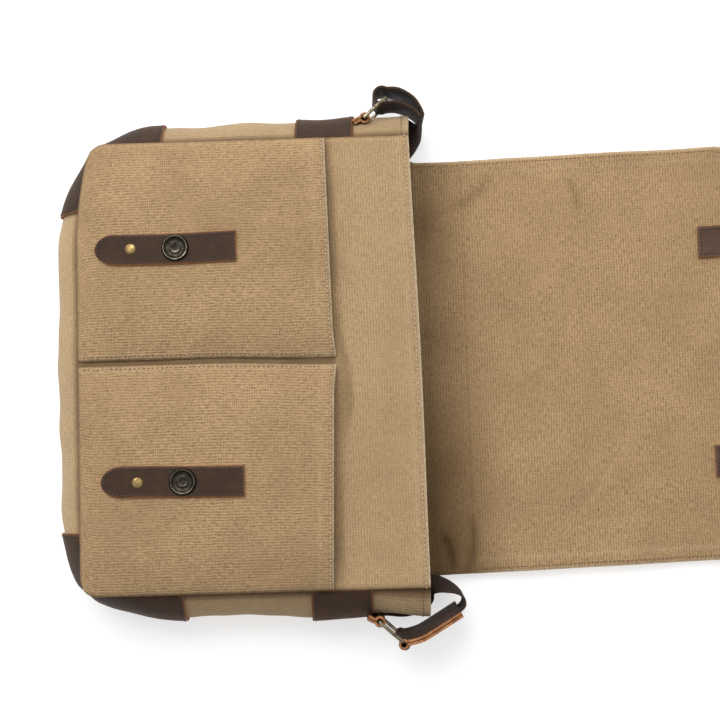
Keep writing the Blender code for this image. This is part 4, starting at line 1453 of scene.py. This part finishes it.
def snap_stud(side, word):
    """The snap's other half, on a flap leather, where it meets the socket when the flap is closed."""
    x = HINGE2_X + HINGE_X - SNAP_X
    y = side * TAB_Y
    stud = turned("snap_stud_cap_" + word, SNAP_STUD, on_flap(x, y, 0.0007 + LEATHER), ["snap", "snap_rim"])
    own(stud, "flap_panel", "snap_metal", "snap_stud_" + word)


# ---------------------------------------------------------------- rings and leather ends

def leather_fold(name, path, bar, halves, eye, height, edge, wall, sag=None, lean=0.0, shift=tuck):
    """A strip of leather on edge, folded round a bar, with both ends running out along the path.

    eye is the fold's radius, halves half the gap between its layers from point to point, edge the finish
    of its cut edges, sag how far a height's fold lies in from the path's start, lean how far its lower
    edge is set in towards the bag, and shift how far each height is moved sideways.
    """
    side = math.copysign(1.0, bar.y)
    ahead = (path[1] - path[0]).normalized()
    heading = math.degrees(math.atan2(ahead.y, ahead.x))
    opening = math.degrees(math.asin(min(halves[0] / eye, 0.98)))
    tail_left, tail_right = [], []
    for k, point in enumerate(path[1:], start=1):
        along = (path[min(k + 1, len(path) - 1)] - path[k - 1]).normalized()
        aside = Vector((-along.y, along.x))
        tail_left.append(point + aside * halves[k])
        tail_right.append(point - aside * halves[k])
    turn = [math.radians(heading + opening + (360 - 2 * opening) * share) for share in shares(20)]
    eye_points = [Vector((path[0].x + eye * math.cos(a), path[0].y + eye * math.sin(a))) for a in turn]
    rough = tail_left[::-1] + eye_points + tail_right
    corners = [Vector(point) for point in smooth_path([tuple(corner) for corner in rough], 3)]
    run = distances(corners)

    def plan(u):
        target = u * run[-1]
        k = 0
        while k < len(run) - 2 and run[k + 1] < target:
            k += 1
        return corners[k].lerp(corners[k + 1], (target - run[k]) / max(run[k + 1] - run[k], 1e-9))

    outward = (path[0] - bar).normalized() if sag else None
    inward = Vector((-0.35, -0.94 * side))

    def place(u, v):
        flat = plan(u)
        z = RING.z + height * (v - 0.5)
        flat = flat + inward * lean * (0.5 - v) * height
        if sag:
            closeness = 1 - ease((flat - path[0]).length / 0.016)
            flat = flat - outward * sag(z - RING.z) * (closeness if closeness < 0.75 else 1.0)
        return (flat.x, flat.y + shift(side, z), z)

    def wear(u, v):
        return 0.4 * near(min(v, 1 - v), 0.05) * (edge == "edge")

    return cloth_sheet(name, place, (run[-1], height), 0.0009, wall, "leather", edge, wear=wear,
                       bevel=0.0003)


def bow_reach(z):
    """How far the ring's bow stands out from its bar, at a height from its middle."""
    inside = max(1 - abs(z / RING_HALF) ** RING_SQUARENESS, 0.0)
    return RING_REACH * inside ** (1 / RING_SQUARENESS)


def ring_wire(side, word):
    """The D-ring: a squarish bow and a straight bar."""
    points = []
    for share in shares(64):
        angle = math.pi * (share - 0.5)
        z = RING.z + math.copysign(abs(math.sin(angle)) ** (2 / RING_SQUARENESS), angle) * RING_HALF
        flat = ring_out(side, max(math.cos(angle), 0.0) ** (2 / RING_SQUARENESS) * RING_REACH)
        points.append((flat.x, flat.y + tuck(side, z), z))
    ring = wire("ring_wire_" + word, [(points, True)], RING_THIN, 6, 60)
    own(ring, "ring_" + word, "brass", "d_ring_" + word)


def ring_loop(side, word):
    """The leather that holds a ring's bar to the bag's side."""
    bar = Vector((RING.x, side * RING.y))
    path = [bar, bar + Vector((-0.0045, -0.0010 * side)), bar + Vector((-0.0085, -0.0032 * side))]
    held = leather_fold("ring_leather_" + word, path, bar, [0.0003] * 3, RING_THIN + 0.0010, 0.034, "edge",
                        0.0018)
    own(held, "bag", "leather", "ring_loop_" + word)


def strap_end(side, word):
    """The strap's leather end, folded round its ring's bow: open at the left, pinched at the right."""
    bar = Vector((RING.x, side * RING.y))
    if side > 0:
        path = [(0.1048, 0.2108), (0.1165, 0.2104), (0.1262, 0.2054), (0.1320, 0.1992), (0.1347, 0.1940)]
        halves = [0.0046, 0.0042, 0.0030, 0.0012, 0.0004]
        shape = {"eye": 0.0055, "edge": "leather", "shift": half_tuck}
    else:
        path = [ring_out(side, RING_REACH), (0.122, -0.2045), (0.136, -0.1965), (0.151, -0.1876)]
        halves = [0.0003] * 4
        shape = {"eye": RING_THIN + 0.0008, "edge": "edge", "lean": 0.13,
                 "sag": lambda z: RING_REACH - bow_reach(z)}
    end = leather_fold("strap_leather_" + word, [Vector(point) for point in path], bar, halves, height=0.036,
                       wall=0.0019, **shape)
    own(end, "ring_" + word, "leather", "strap_end_" + word)


def pull_corner(*names):
    """Draw the slouched bottom left corner in towards the mouth, in every layer alike."""
    start_y, start_x = 0.095, -0.050
    for name in names:
        for vertex in bpy.data.objects[name].data.vertices:
            reach = min(max((vertex.co.y - start_y) / (HALF_WIDTH - start_y), 0.0), 1.10) ** 1.7
            vertex.co.x += 0.0105 * reach * ease((start_x - vertex.co.x) / (start_x - BOTTOM_X))


photo_camera()
studio()
strap()
front_panel()
back_panel()
gusset()
gusset_leathers()
lining()
laptop_sleeve()
for side, word in SIDES:
    pocket(side, word)
for side, word in SIDES:
    closure_tab(side, word)
flap()
for side, word in SIDES:
    ring_wire(side, word)
    ring_loop(side, word)
    strap_end(side, word)

pull_corner("front_canvas", "back_canvas", "pocket_canvas_left", "gusset_canvas", "corner_leather_left",
            "lining_cotton_back", "lining_cotton_front", "lining_cotton_gusset", "sleeve_pad")
